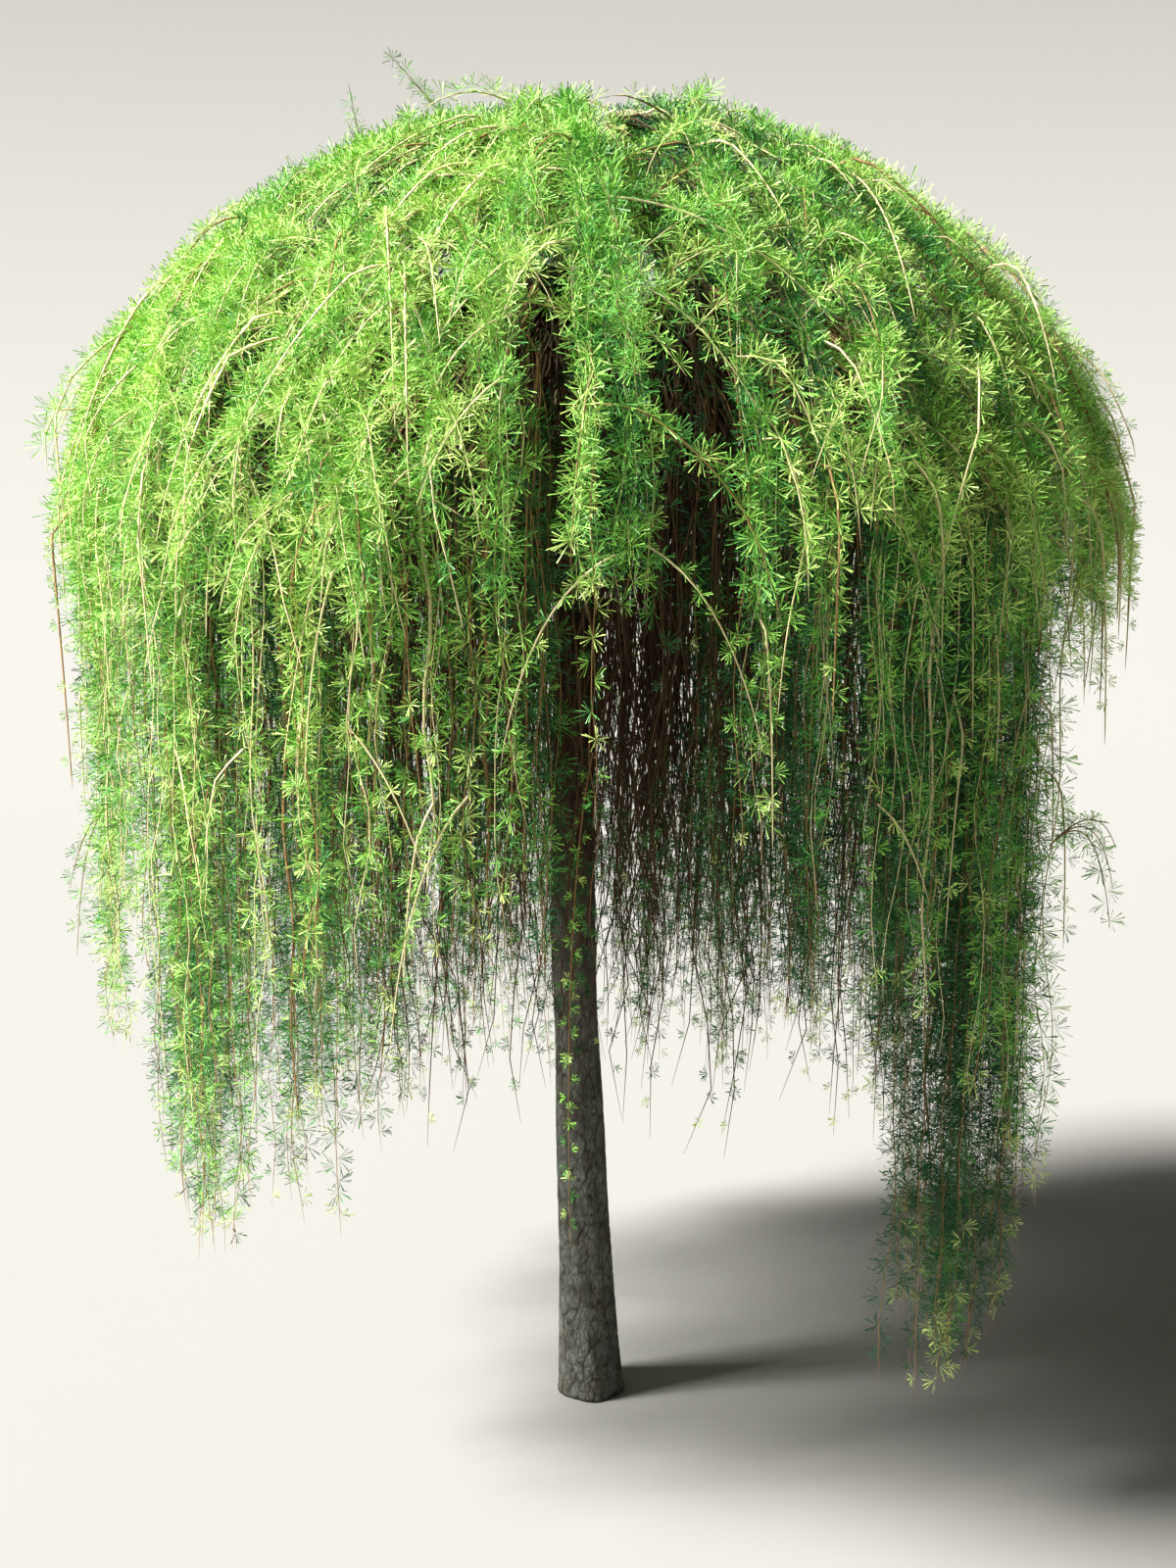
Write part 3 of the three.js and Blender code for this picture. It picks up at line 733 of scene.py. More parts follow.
def grow_inner(room, count, draws):
    """Twigs that droop from a bough: round the trunk, or under the mantle's arches."""
    under = room.name == "mantle"
    shares, tips = (UNDER_SHARES, UNDER_TIPS) if under else (INNER_SHARES, INNER_TIPS)
    bough = curve_points(room.bough.controls, ARCH_STEPS)
    twigs = []
    for k in range(count):
        across = (k + draws()) / count
        twig = SimpleNamespace(
            start=bough[int(mix(ARCH_STEPS / 2, ARCH_STEPS, draws()))],
            angle=mix(room.start - INNER_OVERLAP, room.stop + INNER_OVERLAP, across),
            share=mix(*shares, draws()),
            lift=0,
            spread=FINER_SPREAD,
            tip_height=mix(*tips, draws()),
        )
        vars(twig).update(draw_sway(draws))
        twig.drift *= INNER_DRIFT
        twigs.append(twig)
    return twigs


def grow_free_end(limb, kind, draws):
    """A short shoot that lifts off a limb and bends over under its own weight. It starts out along
    the limb, or level from a bough, which stands upright."""
    at = lengths_along(limb)[-1] * mix(FREE_FIRST, 1, draws() ** NEAR_START)
    start, ahead = points_at(limb, [at * FREE_AHEAD, at])
    if kind["limb"] == "bough":
        tangent, outward = unit(start * (1, 1, 0)), UP
    else:
        tangent, outward = unit(ahead - start), unit(start - (0, 0, min(DOME_BASE, start[2])))
    direction = tangent * mix(*kind["along"], draws()) + outward * mix(*kind["lift"], draws())
    direction = direction + np.cross(tangent, outward) * mix(-kind["turn"], kind["turn"], draws())
    bend = mix(*kind["bend"], draws())
    shell = float(share_at(start)) + mix(*kind["rise"], draws())
    path = [start]
    for _ in range(max(FREE_LEAST_STEPS, round(mix(*kind["length"], draws()) / FREE_STEP))):
        point = held_in(path[-1] + unit(direction - UP * bend * FREE_STEP) * FREE_STEP, shell)
        direction = unit(point - path[-1])
        path.append(point)
    return np.array(path)


def held_in(point, share):
    """The point, moved in to a shell from outside it."""
    radius = math.hypot(point[0], point[1])
    inward = min(1, CROWN_RADIUS * share / radius, FREE_REACH / radius)
    top = shell_points(0, radius * inward, share)[2]
    return np.array((point[0] * inward, point[1] * inward, min(point[2], top)))


def in_parting(point):
    """Whether a place is in the gap at the front, where few shoots grow."""
    angle = math.degrees(math.atan2(point[1], point[0]))
    return THINNED.start < angle < THINNED.stop and point[2] < THINNED.height


def strand(points, radii, bark, **habit):
    """One twig to be drawn: its line, its radius at each end, its bark and how its tufts sit."""
    # depth shifts a strand's tufts to deeper greens as painted shade; a negative depth gives lighter greens
    # as painted light.
    usual = dict(bare=0.0, lush=1.0, spacing=1.0, tone=0.5, depth=0.0, dome=1.0, free=False)
    return SimpleNamespace(points=points, radii=radii, bark=BARKS.index(bark), **{**usual, **habit})


def habit_of(draws, bushy=BUSHY_CHANCE):
    """Whether a strand is bushy or sparse, and its tone."""
    kind = BUSHY if draws() < bushy else SPARSE
    return dict(lush=mix(*kind.lush, draws()), spacing=mix(*kind.spacing, draws()), tone=draws())


def wobbled(points, step, draws, tangle=1.0):
    """The line in even steps, with the small bends that a thin shoot grows with."""
    total = lengths_along(points)[-1]
    at = np.linspace(0, total, max(LEAST_STEPS, round(total / step)) + 1)
    line = points_at(points, at)
    _, across, beside = frames_along(line)
    for direction in (across, beside):
        turns = at / mix(*WOBBLE_WAVE, draws()) + draws()
        size = tangle * mix(*WOBBLE_SIZE, draws()) * smooth_step(0, WOBBLE_EASE, at)
        line = line + direction * (size * np.sin(2 * np.pi * turns))[:, None]
    return line


def hanging_start(points, height):
    """The length along a strand at which it comes down to a height, past its first quarter."""
    below = np.flatnonzero((points[:, 2] < height) & (np.arange(len(points)) > len(points) // 4))
    return lengths_along(points)[below[0] if len(below) else -1]


def grow_mass(room, seed, twigs):
    """All the strands of one mass."""
    stem, shoots = grow_main(room, seed)
    draws = Draws(seed + FINER_SEED)
    degrees = room.stop - room.start
    mantle = room.name == "mantle"
    fuller = FULLER.get(room.node, {})
    per_degree = (twigs.mantle_shoots if mantle else twigs.curtain_shoots) * fuller.get("shoots", 1)
    finer = grow_finer(room, [stem, *shoots], round(degrees * per_degree), draws)
    laid = [(stem, STEM_RADII)]
    laid += [(shoot, SHOOT_RADII) for shoot in shoots]
    laid += [(shoot, FINER_RADII) for shoot in finer]
    # Partly painted light: mantle shoots on the sunny outside get straw, curtain shoots tan.
    young = "straw" if mantle else "tan"
    strands = []
    for shoot, radii in laid:
        points = wobbled(weeping_path(shoot, 2), TWIG_STEP, draws, MANTLE_TANGLE if mantle else 1)
        if shoot is stem:
            points = np.vstack([room.bough.end - room.bough.direction * STEM_SUNK, points])
        bark = young if draws() < YOUNG_SHARE else "tan"
        habit = habit_of(draws, fuller.get("bushy", BUSHY_CHANCE))
        # Painted shade: curtain strands, and the masses that FULLER darkens, get deeper greens.
        habit.update(depth=(MANTLE_PAINTED_SHADE if mantle else CURTAIN_PAINTED_SHADE) + fuller.get("painted_shade", 0))
        if not mantle:
            bare = hanging_start(points, mix(*CURTAIN_LEAF_HEIGHT, draws()))
            habit.update(dome=CURTAIN_DOME, bare=bare * mix(*CURTAIN_BARE, draws()))
        strands.append(strand(points, radii, bark, **habit))
    if mantle:
        strands += grow_free_ends(room, [stem, *shoots, *finer], round(degrees * twigs.free_ends), draws)
    per_degree = twigs.inner_twigs * (UNDER_MANTLE if mantle else fuller.get("inner", 1))
    for twig in grow_inner(room, round(degrees * per_degree), draws):
        points = wobbled(weeping_path(twig), INNER_STEP, draws, TANGLE)
        radii, habit = (UNDER_RADII, UNDER_HABIT) if mantle else (INNER_RADII, INNER_HABIT)
        bare = 0 if mantle else lengths_along(points)[-1] * mix(*INNER_BARE, draws())
        # Painted shade: the inner twigs' tufts get the deepest greens.
        strands.append(strand(points, radii, "brown", depth=INNER_PAINTED_SHADE, bare=bare, **habit))
    for values in STRAY_SHOOTS:
        stray = SimpleNamespace(**dict(zip(STRAY_FIELDS, values)))
        if stray.mass == room.node:
            strands += grow_strays(stray, [stem, *shoots])
    return strands


def grow_free_ends(room, parents, count, draws):
    """The free ends of a mantle: most from its arches, some from its bough."""
    bough = curve_points(room.bough.controls, ARCH_STEPS)[ARCH_STEPS // 2 :]
    chances = np.cumsum([kind["chance"] for kind in FREE_KINDS])
    strands = [strand(bough, FREE_RADII, "tan", free=True)]
    for _ in range(count):
        parent = parents[int(draws() ** CROWDING * len(parents))]
        limbs = {
            "bough": bough,
            "hanging": parent.path[ARCH_STEPS - 2 : ARCH_STEPS + HANGING_FREE_STEPS],
            "arch": parent.path[: ARCH_STEPS + 2],
        }
        kind = FREE_KINDS[int(np.searchsorted(chances, draws() * chances[-1]))]
        points = grow_free_end(limbs[kind["limb"]], kind, draws)
        if in_parting(points[-1]) and draws() < THINNED.share:
            continue
        habit = dict(lush=mix(*kind["lush"], draws()), tone=draws(), spacing=kind["spacing"])
        # Painted light: the free ends' tufts get lighter greens.
        habit.update(depth=FREE_PAINTED_SHADE, bare=FREE_BARE, free=True)
        bark = "straw" if draws() < YOUNG_SHARE else "tan"
        strands.append(strand(points, kind.get("radii", FREE_RADII), bark, **habit))
    return strands


def grow_strays(stray, parents):
    """The source's single shoot out of a mass, mostly with shorter ones beside it."""
    near, by, to = np.array([stray.near, stray.by, stray.to])
    laid = np.vstack([parent.path[1:] for parent in parents])
    start = laid[np.linalg.norm(laid - near, axis=1).argmin()]
    strands = []
    for share in stray.shares:
        end = mix(by, to, share) + (1 - share) * STRAY_SIDE * unit(start * (1, 1, 0))
        points = curve_points((start, by, end), ARCH_STEPS * 2)
        strands.append(strand(points, FINER_RADII, "tan", lush=stray.lush, **STRAY_HABIT))
    return strands


def frames_along(points):
    """The direction along a strand at each point, with two directions across it."""
    tangent = unit(np.gradient(points, axis=0))
    outward = unit(points[-1] * (1, 1, 0))
    level = np.cross(UP, outward)
    across = unit(level - (tangent @ level)[:, None] * tangent)
    return tangent, across, np.cross(tangent, across)


def ring_angles(sides):
    return np.arange(sides) * 2 * np.pi / sides


def ring_corners(points, radii, sides):
    """Rings of corners round a line of points, with a radius for each corner or each ring."""
    _, across, beside = frames_along(points)
    angles = ring_angles(sides)[:, None]
    ring = across[:, None, :] * np.cos(angles) + beside[:, None, :] * np.sin(angles)
    return (points[:, None, :] + ring * radii[..., None]).reshape(-1, 3)


def twig_mesh(strands):
    """Tapering twigs, joined: vertices, faces and the bark of each face."""
    vertices, faces, barks = [], [], []
    offset = 0
    for twig in strands:
        count = len(twig.points)
        radii = np.linspace(*twig.radii, count)
        radii[-1] = TIP_RADIUS
        vertices.append(ring_corners(twig.points, radii[:, None], TWIG_SIDES))
        faces.append(grid_faces(count, TWIG_SIDES) + offset)
        barks.append(np.full(len(faces[-1]), twig.bark))
        offset += count * TWIG_SIDES
    return np.vstack(vertices), np.vstack(faces), np.concatenate(barks)


def grid_faces(rings, sides):
    """Four-sided faces between rings of corners."""
    ring, side = np.meshgrid(np.arange(rings - 1) * sides, np.arange(sides), indexing="ij")
    after = (side + 1) % sides
    corners = [ring + side, ring + after, ring + sides + after, ring + sides + side]
    return np.stack(corners, axis=-1).reshape(-1, 4)


def end_faces(first, hub):
    """Four-sided faces from the trunk's ring that starts at a corner to the hub in its middle."""
    corners = np.arange(0, TRUNK_SIDES, 2)
    ring = [corners, corners + 1, (corners + 2) % TRUNK_SIDES]
    return np.stack([first + corner for corner in ring] + [np.full_like(corners, hub)], axis=-1)


def tufts_along(twig, sizes, rng):
    """The tufts of one strand: their places, axes, lengths, pairs of needles, greens and shares of
    the dome's habit."""
    reached = lengths_along(twig.points)
    total = reached[-1]
    dome_line = twig.dome * smooth_step(DOME_BASE, DOME_BASE + BLEND_BAND, twig.points[:, 2])
    gaps = mix(sizes.hanging_spacing, sizes.free_spacing if twig.free else sizes.dome_spacing, dome_line)
    stations = np.concatenate([[0], np.cumsum(np.diff(reached) / (gaps[1:] * twig.spacing))])
    first = np.interp(twig.bare, reached, stations)
    last = np.interp(total - rng.uniform(*TIP_BARE), reached, stations)
    count = int(last - first)
    if count < 1:
        return None
    at = np.interp(first + np.arange(count) + rng.uniform(*STATION_SCATTER, count), stations, reached)
    place = points_at(twig.points, at)
    across, beside = (
        unit(np.stack([np.interp(at, reached, part[:, i]) for i in range(3)], axis=-1))
        for part in frames_along(twig.points)[1:]
    )
    turn = np.arange(count) * GOLDEN_ANGLE + rng.uniform(0, 2 * np.pi)
    axis = across * np.cos(turn)[:, None] + beside * np.sin(turn)[:, None]
    dome = np.interp(at, reached, dome_line)
    outward = unit(place - (0, 0, DOME_BASE))
    axis = unit(axis * mix(1, AXIS_SPREAD, dome[:, None]) + outward * AXIS_LIFT * dome[:, None])
    share = at / total
    fading = mix(1, TIP_TUFT, smooth_step(*TIP_FADE, share))
    length = mix(sizes.hanging_length, sizes.dome_length, dome) * twig.lush * fading
    needles = mix(sizes.hanging_count, sizes.dome_count, dome) * mix(TIP_NEEDLES, 1, fading)
    pairs = np.maximum(np.round(needles).astype(int) // 2, LEAST_PAIRS)
    # The strand's depth shifts the tone: deeper greens as painted shade, lighter greens as painted light.
    tone = mix(rng.random(count), twig.tone, TONE_OF_STRAND) + twig.depth
    green = np.searchsorted(TONE_STEPS, tone)
    green[(share > BUD_SHARE) & (rng.random(count) < BUD_CHANCE)] = GREENS.index("bud")
    return place, axis, length, pairs, green, dome


def needle_mesh(strands, sizes, rng):
    """Tufts of needles, joined: vertices, faces and the green of each face. A tuft is made of small
    folded meshes, each of them two needles that share the point they grow from and widen to blunt
    ends, so that a tuft fans out like a brush."""
    tufts = [made for made in (tufts_along(twig, sizes, rng) for twig in strands) if made]
    place, axis, length, pairs, green, dome = (np.concatenate(values) for values in zip(*tufts))
    owner = np.repeat(np.arange(len(place)), pairs)
    rank = np.arange(len(owner)) - (np.cumsum(pairs) - pairs)[owner]
    across = unit(np.cross(axis, unit(rng.normal(size=axis.shape))))
    beside = np.cross(axis, across)
    first_turn = rng.uniform(0, 2 * np.pi, len(place))[owner]
    lean_ends = [mix(*ends, dome[owner]) for ends in zip(HANGING_LEAN, DOME_LEAN)]
    directions = []
    for half in (0, 1):
        lean = (rank + rng.uniform(0, 1, len(owner))) / pairs[owner]
        cosine = mix(*lean_ends, lean if half else 1 - lean)
        sine = np.sqrt(1 - cosine**2)
        scatter = rng.uniform(-TURN_SCATTER, TURN_SCATTER, len(owner))
        turn = first_turn + rank * GOLDEN_ANGLE + half * np.pi + scatter
        spread = across[owner] * np.cos(turn)[:, None] + beside[owner] * np.sin(turn)[:, None]
        directions.append(axis[owner] * cosine[:, None] + spread * sine[:, None])
    side = unit(np.cross(*directions) + rng.normal(size=(len(owner), 3)) * SIDE_SCATTER)
    base = place[owner] + axis[owner] * SPUR
    tips = []
    for direction in directions:
        reach = (length[owner] * rng.uniform(*NEEDLE_VARIATION, len(owner)))[:, None]
        tips.append(base + direction * reach - UP * reach * NEEDLE_DROOP)
    half_width = side * sizes.width / 2
    ends = [tip + half for tip in tips for half in (-half_width, half_width)]
    vertices = np.stack([base, *ends], axis=1).reshape(-1, 3)
    corner = np.arange(len(owner))[:, None, None] * (1 + len(ends))
    faces = (corner + np.array([[0, 1, 2], [0, 4, 3]])).reshape(-1, 3)
    return vertices, faces, np.repeat(green[owner], 2)


def new_piece(name, vertices, faces, materials, face_materials=None, attributes=None, smooth=False):
    """A mesh object in the scene, made from arrays of corners and faces."""
    mesh = bpy.data.meshes.new(name)
    mesh.vertices.add(len(vertices))
    mesh.vertices.foreach_set("co", np.asarray(vertices, np.float32).ravel())
    mesh.loops.add(faces.size)
    mesh.loops.foreach_set("vertex_index", faces.astype(np.int32).ravel())
    mesh.polygons.add(len(faces))
    mesh.polygons.foreach_set("loop_start", np.arange(0, faces.size, faces.shape[1], dtype=np.int32))
    for material in materials:
        mesh.materials.append(material)
    if face_materials is not None:
        mesh.polygons.foreach_set("material_index", face_materials.astype(np.int32))
    for attribute, values in (attributes or {}).items():
        layer = mesh.attributes.new(attribute, "FLOAT", "POINT")
        layer.data.foreach_set("value", np.asarray(values, np.float32).ravel())
    mesh.polygons.foreach_set("use_smooth", np.full(len(faces), smooth))
    mesh.update(calc_edges=True)
    piece = bpy.data.objects.new(name, mesh)
    bpy.context.scene.collection.objects.link(piece)
    return piece


def stand_for(piece, node):
    """The piece rides on the tree's one body and stands for a solid of the frame."""
    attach(piece, "root")
    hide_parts(node)


def ripples(angle, up, seed):
    """A smooth pattern of waves about 0 that closes round the trunk."""
    rng = np.random.default_rng(seed)
    waves = []
    for _ in range(RIPPLE_WAVES):
        turns = rng.integers(-RIPPLE_TURNS, RIPPLE_TURNS + 1)
        waves.append(np.sin(turns * angle + rng.uniform(*RIPPLE_RISE) * up + rng.uniform(0, 2 * np.pi)))
    return sum(waves) / math.sqrt(RIPPLE_WAVES)


def plate_relief(around, up, columns, seed):
    """Bark plates at places told in plates around and up: how far each is out of a crack, from 0 to
    1, and the number of the plate, from 0 to 1."""
    rows = int(up.max()) + ROWS_BELOW + 1
    rng = np.random.default_rng(seed)
    jitter = rng.uniform(*PLATE_JITTER, (rows, columns, 2))
    number = rng.random((rows, columns))
    nearest = np.full(around.shape, np.inf)
    second = nearest
    plate = np.zeros(around.shape)
    column, row = np.floor(around).astype(int), np.floor(up).astype(int)
    for step_around in (-1, 0, 1):
        for step_up in (-1, 0, 1):
            i, j = (row + step_up) % rows, (column + step_around) % columns
            apart_around = column + step_around + jitter[i, j, 0] - around
            apart_up = row + step_up + jitter[i, j, 1] - up
            distance = np.hypot(apart_around, apart_up)
            closer = distance < nearest
            second = np.where(closer, nearest, np.minimum(second, distance))
            plate = np.where(closer, number[i, j], plate)
            nearest = np.where(closer, distance, nearest)
    return smooth_step(*CRACK_BAND, second - nearest), plate


def bark_pattern(angle, height, wood):
    """Cracks between plates, softened where plates have grown together, with finer flakes on them."""
    columns = round(2 * math.pi * TAPER_RADII[1] / wood.plate_width)
    patterns = (WANDER_AROUND, WANDER_UP, GROWN_TOGETHER)
    wander, rise, together = (ripples(angle, height * waves.rise, waves.seed) for waves in patterns)
    around = (angle / (2 * np.pi) * columns + PLATE_WANDER * wander) % columns
    up = height / wood.plate_height + ROWS_BELOW + PLATE_WANDER * rise
    crack, plate = plate_relief(around, up, columns, PLATE_SEED)
    crack = 1 - (1 - crack) * smooth_step(*GROWN_TOGETHER.band, together)
    finer = round(columns * FLAKE_SCALE)
    around, up = around * finer / columns, up * FLAKE_SCALE * FLAKE_HEIGHT
    flake, number = plate_relief(around, up, finer, FLAKE_SEED)
    return np.minimum(crack, mix(1, flake, FLAKE_SHARE)), mix(plate, number, FLAKE_TONE)


def node(material, kind, settings=None, **inputs):
    """Adds a node. An input is told by its socket's name or number, and is a value or the output of
    another node, which is linked to it."""
    new = material.node_tree.nodes.new(kind)
    for name, value in (settings or {}).items():
        setattr(new, name, value)
    for name, value in inputs.items():
        socket = new.inputs[int(name[1:])] if name[1:].isdigit() else new.inputs[name.replace("_", " ")]
        if isinstance(value, bpy.types.NodeSocket):
            material.node_tree.links.new(value, socket)
        else:
            socket.default_value = value
    return new


def mixed(material, share, first, second, blend="MIX"):
    """Two colours mixed, or the second laid over the first in another blend."""
    settings = {"data_type": "RGBA", "blend_type": blend}
    return node(material, "ShaderNodeMix", settings, _0=share, _6=first, _7=second).outputs[2]


def noise(material, place, width, detail):
    """Fractal noise with patches of a width in metres."""
    return node(material, "ShaderNodeTexNoise", Vector=place, Scale=1 / width, Detail=detail)


def stretched(material, place, share):
    """The place, for a pattern that is drawn out upwards."""
    return node(material, "ShaderNodeMapping", Vector=place, Scale=(1, 1, share)).outputs["Vector"]


def new_material(name, colour, roughness, specular):
    """A material with one Principled shader: the material and that shader."""
    material = bpy.data.materials.new(name)
    material.use_nodes = True
    material.diffuse_color = (*colour, 1)
    shader = material.node_tree.nodes["Principled BSDF"]
    shader.inputs["Base Color"].default_value = (*colour, 1)
    shader.inputs["Roughness"].default_value = roughness
    shader.inputs["Specular IOR Level"].default_value = specular
    return material, shader


def coat(material, shader, colour, strength, depth, height):
    """Gives the shader a pattern of colour and a bump."""
    bump = node(material, "ShaderNodeBump", Strength=strength, Distance=depth, Height=height)
    material.node_tree.links.new(colour, shader.inputs["Base Color"])
    material.node_tree.links.new(bump.outputs["Normal"], shader.inputs["Normal"])
    return material


def flaky_bark(wood):
    """Larch bark of a young stem, grown in flakes: dull grey plates, some worn to a warmer brown,
    with cracks darkened partly as painted shade, and fine upright fibres. Under the crown it is
    darker and browner, partly the upper bark's own brown and partly painted shade of the crown."""
    material, shader = new_material("larch_bark_flaky", wood.plate_colour, roughness=0.92, specular=0.2)
    plates, worn, upper, cracks = (
        (*getattr(wood, f"{part}_colour"), 1) for part in ("plate", "worn", "upper", "crack")
    )
    crack = node(material, "ShaderNodeAttribute", {"attribute_name": "crack"}).outputs["Fac"]
    plate = node(material, "ShaderNodeAttribute", {"attribute_name": "plate"}).outputs["Fac"]
    place = node(material, "ShaderNodeTexCoord").outputs["Object"]
    height = node(material, "ShaderNodeSeparateXYZ", Vector=place).outputs["Z"]
    # Painted shade, in part: from BROWN_FROM up, the bark is mixed towards the darker upper colour under
    # the crown.
    browner_and_shaded = node(material, "ShaderNodeMapRange", _0=height, _1=BROWN_FROM[0], _2=BROWN_FROM[1])
    fibres = noise(material, stretched(material, place, FIBRE_STRETCH), FIBRE_WIDTH, 4).outputs["Fac"]
    patches = noise(material, place, PATCH_WIDTH, 3).outputs["Fac"]
    tangle = noise(material, place, FLAKE_WIDTH, 2).outputs["Color"]
    ragged = mixed(material, FLAKE_RAGGED, place, tangle, "LINEAR_LIGHT")
    cells = node(
        material,
        "ShaderNodeTexVoronoi",
        {"feature": "DISTANCE_TO_EDGE"},
        Vector=stretched(material, ragged, FLAKE_STRETCH),
        Scale=1 / FLAKE_WIDTH,
    ).outputs["Distance"]
    flake = node(material, "ShaderNodeMapRange", _0=cells, _1=0.0, _2=FLAKE_EDGE).outputs[0]
    faces = mixed(material, browner_and_shaded.outputs[0], mixed(material, plate, plates, worn), upper)
    fibrous = mixed(material, FIBRE_TONE, faces, fibres, "OVERLAY")
    mottled = mixed(material, PATCH_TONE, fibrous, patches, "OVERLAY")
    # Painted shade, in part: the crack colour is laid into the fine cracks at the flakes' edges and into
    # the cracks between plates.
    flaked = mixed(material, FLAKE_CRACKS, mottled, mixed(material, flake, cracks, mottled))
    coloured = mixed(material, crack, cracks, flaked)
    add = {"operation": "MULTIPLY_ADD"}
    bumps = node(material, "ShaderNodeMath", add, _0=fibres, _1=FIBRE_HEIGHT, _2=flake).outputs[0]
    return coat(material, shader, coloured, BARK_BUMP, FIBRE_DEPTH, bumps)


def young_bark(name, colour):
    """Thin bark of a bough that is some years old: smooth and slightly satin, tan to brown, with
    faint lengthwise streaks."""
    material, shader = new_material(name, colour, roughness=0.72, specular=0.35)
    place = node(material, "ShaderNodeTexCoord").outputs["Object"]
    streaks = noise(material, place, STREAK_WIDTH, 5).outputs["Fac"]
    darker = (channel * STREAK_SHADE for channel in colour)
    coloured = mixed(material, streaks, (*darker, 1), (*colour, 1))
    return coat(material, shader, coloured, STREAK_BUMP, STREAK_DEPTH, streaks)


def twig_barks(twigs):
    """Bark of one-year shoots, thin as paper: straw in the sun, tan where they hang, brown inside; the
    pale outside is partly painted light, the darker inside partly painted shade. Each is one plain
    colour, dealt out by twig."""
    return plain_materials(twigs, BARKS, "larch_twig", roughness=0.6, specular=0.4)


def needle_greens(needles):
    """Soft spring needles with a thin wax: matt with a slight sheen. Each green is plain, dealt out
    by tuft, and paler than the needles' own: painted light that stands in for light shining through them."""
    return plain_materials(needles, GREENS, "larch_needles", roughness=0.5, specular=0.45)


def plain_materials(group, colours, name, **finish):
    """A material for each of a group's colours, made the first time that they are asked for."""
    materials = []
    for colour in colours:
        known = bpy.data.materials.get(f"{name}_{colour}")
        value = getattr(group, f"{colour}_colour")
        materials.append(known or new_material(f"{name}_{colour}", value, **finish)[0])
    return materials


def dress_masses(kind, scene):
    """Twigs and needles for every mass of one kind."""
    barks, greens = twig_barks(scene.larch_twigs), needle_greens(scene.larch_needles)
    for seed, room in enumerate(ROOMS, 1):
        if room.name != kind:
            continue
        strands = grow_mass(room, seed, scene.larch_twigs)
        vertices, faces, face_barks = twig_mesh(strands)
        twigs = new_piece(f"twigs_{room.node}", vertices, faces, barks, face_barks, smooth=True)
        rng = np.random.default_rng(NEEDLE_SEED + seed)
        vertices, faces, face_greens = needle_mesh(strands, scene.larch_needles, rng)
        needles = new_piece(f"needles_{room.node}", vertices, faces, greens, face_greens)
        for piece in (twigs, needles):
            stand_for(piece, room.node)


class LARCH_OT_trunk(bpy.types.Operator):
    """Makes the trunk's bark, with flaky plates in relief, down to the flat cut at the ground"""

    bl_idname = "larch.trunk"
    bl_label = "Trunk"

    def execute(self, context):
        wood = context.scene.larch_wood
        low = np.arange(0, PLATED_HEIGHT, TRUNK_RING_STEP)
        heights = np.concatenate([low, np.linspace(PLATED_HEIGHT, TAPER_HEIGHTS[-1], UPPER_TRUNK_RINGS)])
        height, angle = np.meshgrid(heights, ring_angles(TRUNK_SIDES), indexing="ij")
        smooth_radius = np.interp(height, TAPER_HEIGHTS, TAPER_RADII)
        flare = ROOT_FLARE * np.exp(-height / FLARE_HEIGHT)
        flare = flare * (1 + LOBE_SHARE * np.cos(ROOT_LOBES * angle + LOBE_TURN))
        crack, plate = bark_pattern(angle, height, wood)
        waves = TRUNK_WAVES.size * ripples(angle, height * TRUNK_WAVES.rise, TRUNK_WAVES.seed)
        relief = wood.relief * (1 - smooth_step(PLATED_HEIGHT - PLATE_FADE, PLATED_HEIGHT, height))
        radius = smooth_radius + flare + waves + relief * (crack * mix(THIN_PLATE, 1, plate) - THIN_PLATE)
        offset = np.stack([radius * np.cos(angle), radius * np.sin(angle), np.zeros_like(radius)], axis=-1)
        vertices = (trunk_centre(height) + offset).reshape(-1, 3)
        hubs = trunk_centre([0, TAPER_HEIGHTS[-1]])
        bottom = end_faces(0, len(vertices))[:, ::-1]
        top = end_faces(len(vertices) - TRUNK_SIDES, len(vertices) + 1)
        piece = new_piece(
            "trunk_bark",
            np.vstack([vertices, hubs]),
            np.vstack([grid_faces(len(heights), TRUNK_SIDES), bottom, top]),
            [flaky_bark(wood)],
            attributes={"crack": np.append(crack, [1, 1]), "plate": np.append(plate, [0.5, 0.5])},
            smooth=True,
        )
        stand_for(piece, "trunk")
        return {"FINISHED"}


class LARCH_OT_boughs(bpy.types.Operator):
    """Makes each bough's bark, from its collar in the trunk to the stem that grows on from it"""

    bl_idname = "larch.boughs"
    bl_label = "Boughs"

    def execute(self, context):
        bark = young_bark("larch_bough_bark", context.scene.larch_wood.bough_colour)
        faces = grid_faces(BOUGH_RINGS, BOUGH_SIDES)
        shares = np.linspace(0, 1, BOUGH_RINGS)
        share, angle = np.meshgrid(shares, ring_angles(BOUGH_SIDES), indexing="ij")
        for room in ROOMS:
            points = curve_points(room.bough.controls, BOUGH_RINGS - 1)
            trunk_radius = np.interp(points[0, 2], TAPER_HEIGHTS, TAPER_RADII)
            outside = np.maximum(lengths_along(points) - trunk_radius, 0)
            collar = BOUGH_COLLAR * np.exp(-outside / COLLAR_LENGTH)
            twist = np.sin(angle * BOUGH_RIPPLE.around + share * BOUGH_RIPPLE.twist)
            ripple = BOUGH_RIPPLE.size * twist * np.sin(share * BOUGH_RIPPLE.along + room.start)
            radius = mix(*room.bough.radii, share) + collar[:, None] + ripple
            vertices = ring_corners(points, radius, BOUGH_SIDES)
            piece = new_piece(f"bark_{room.bough_node}", vertices, faces, [bark], smooth=True)
            stand_for(piece, room.bough_node)
        return {"FINISHED"}


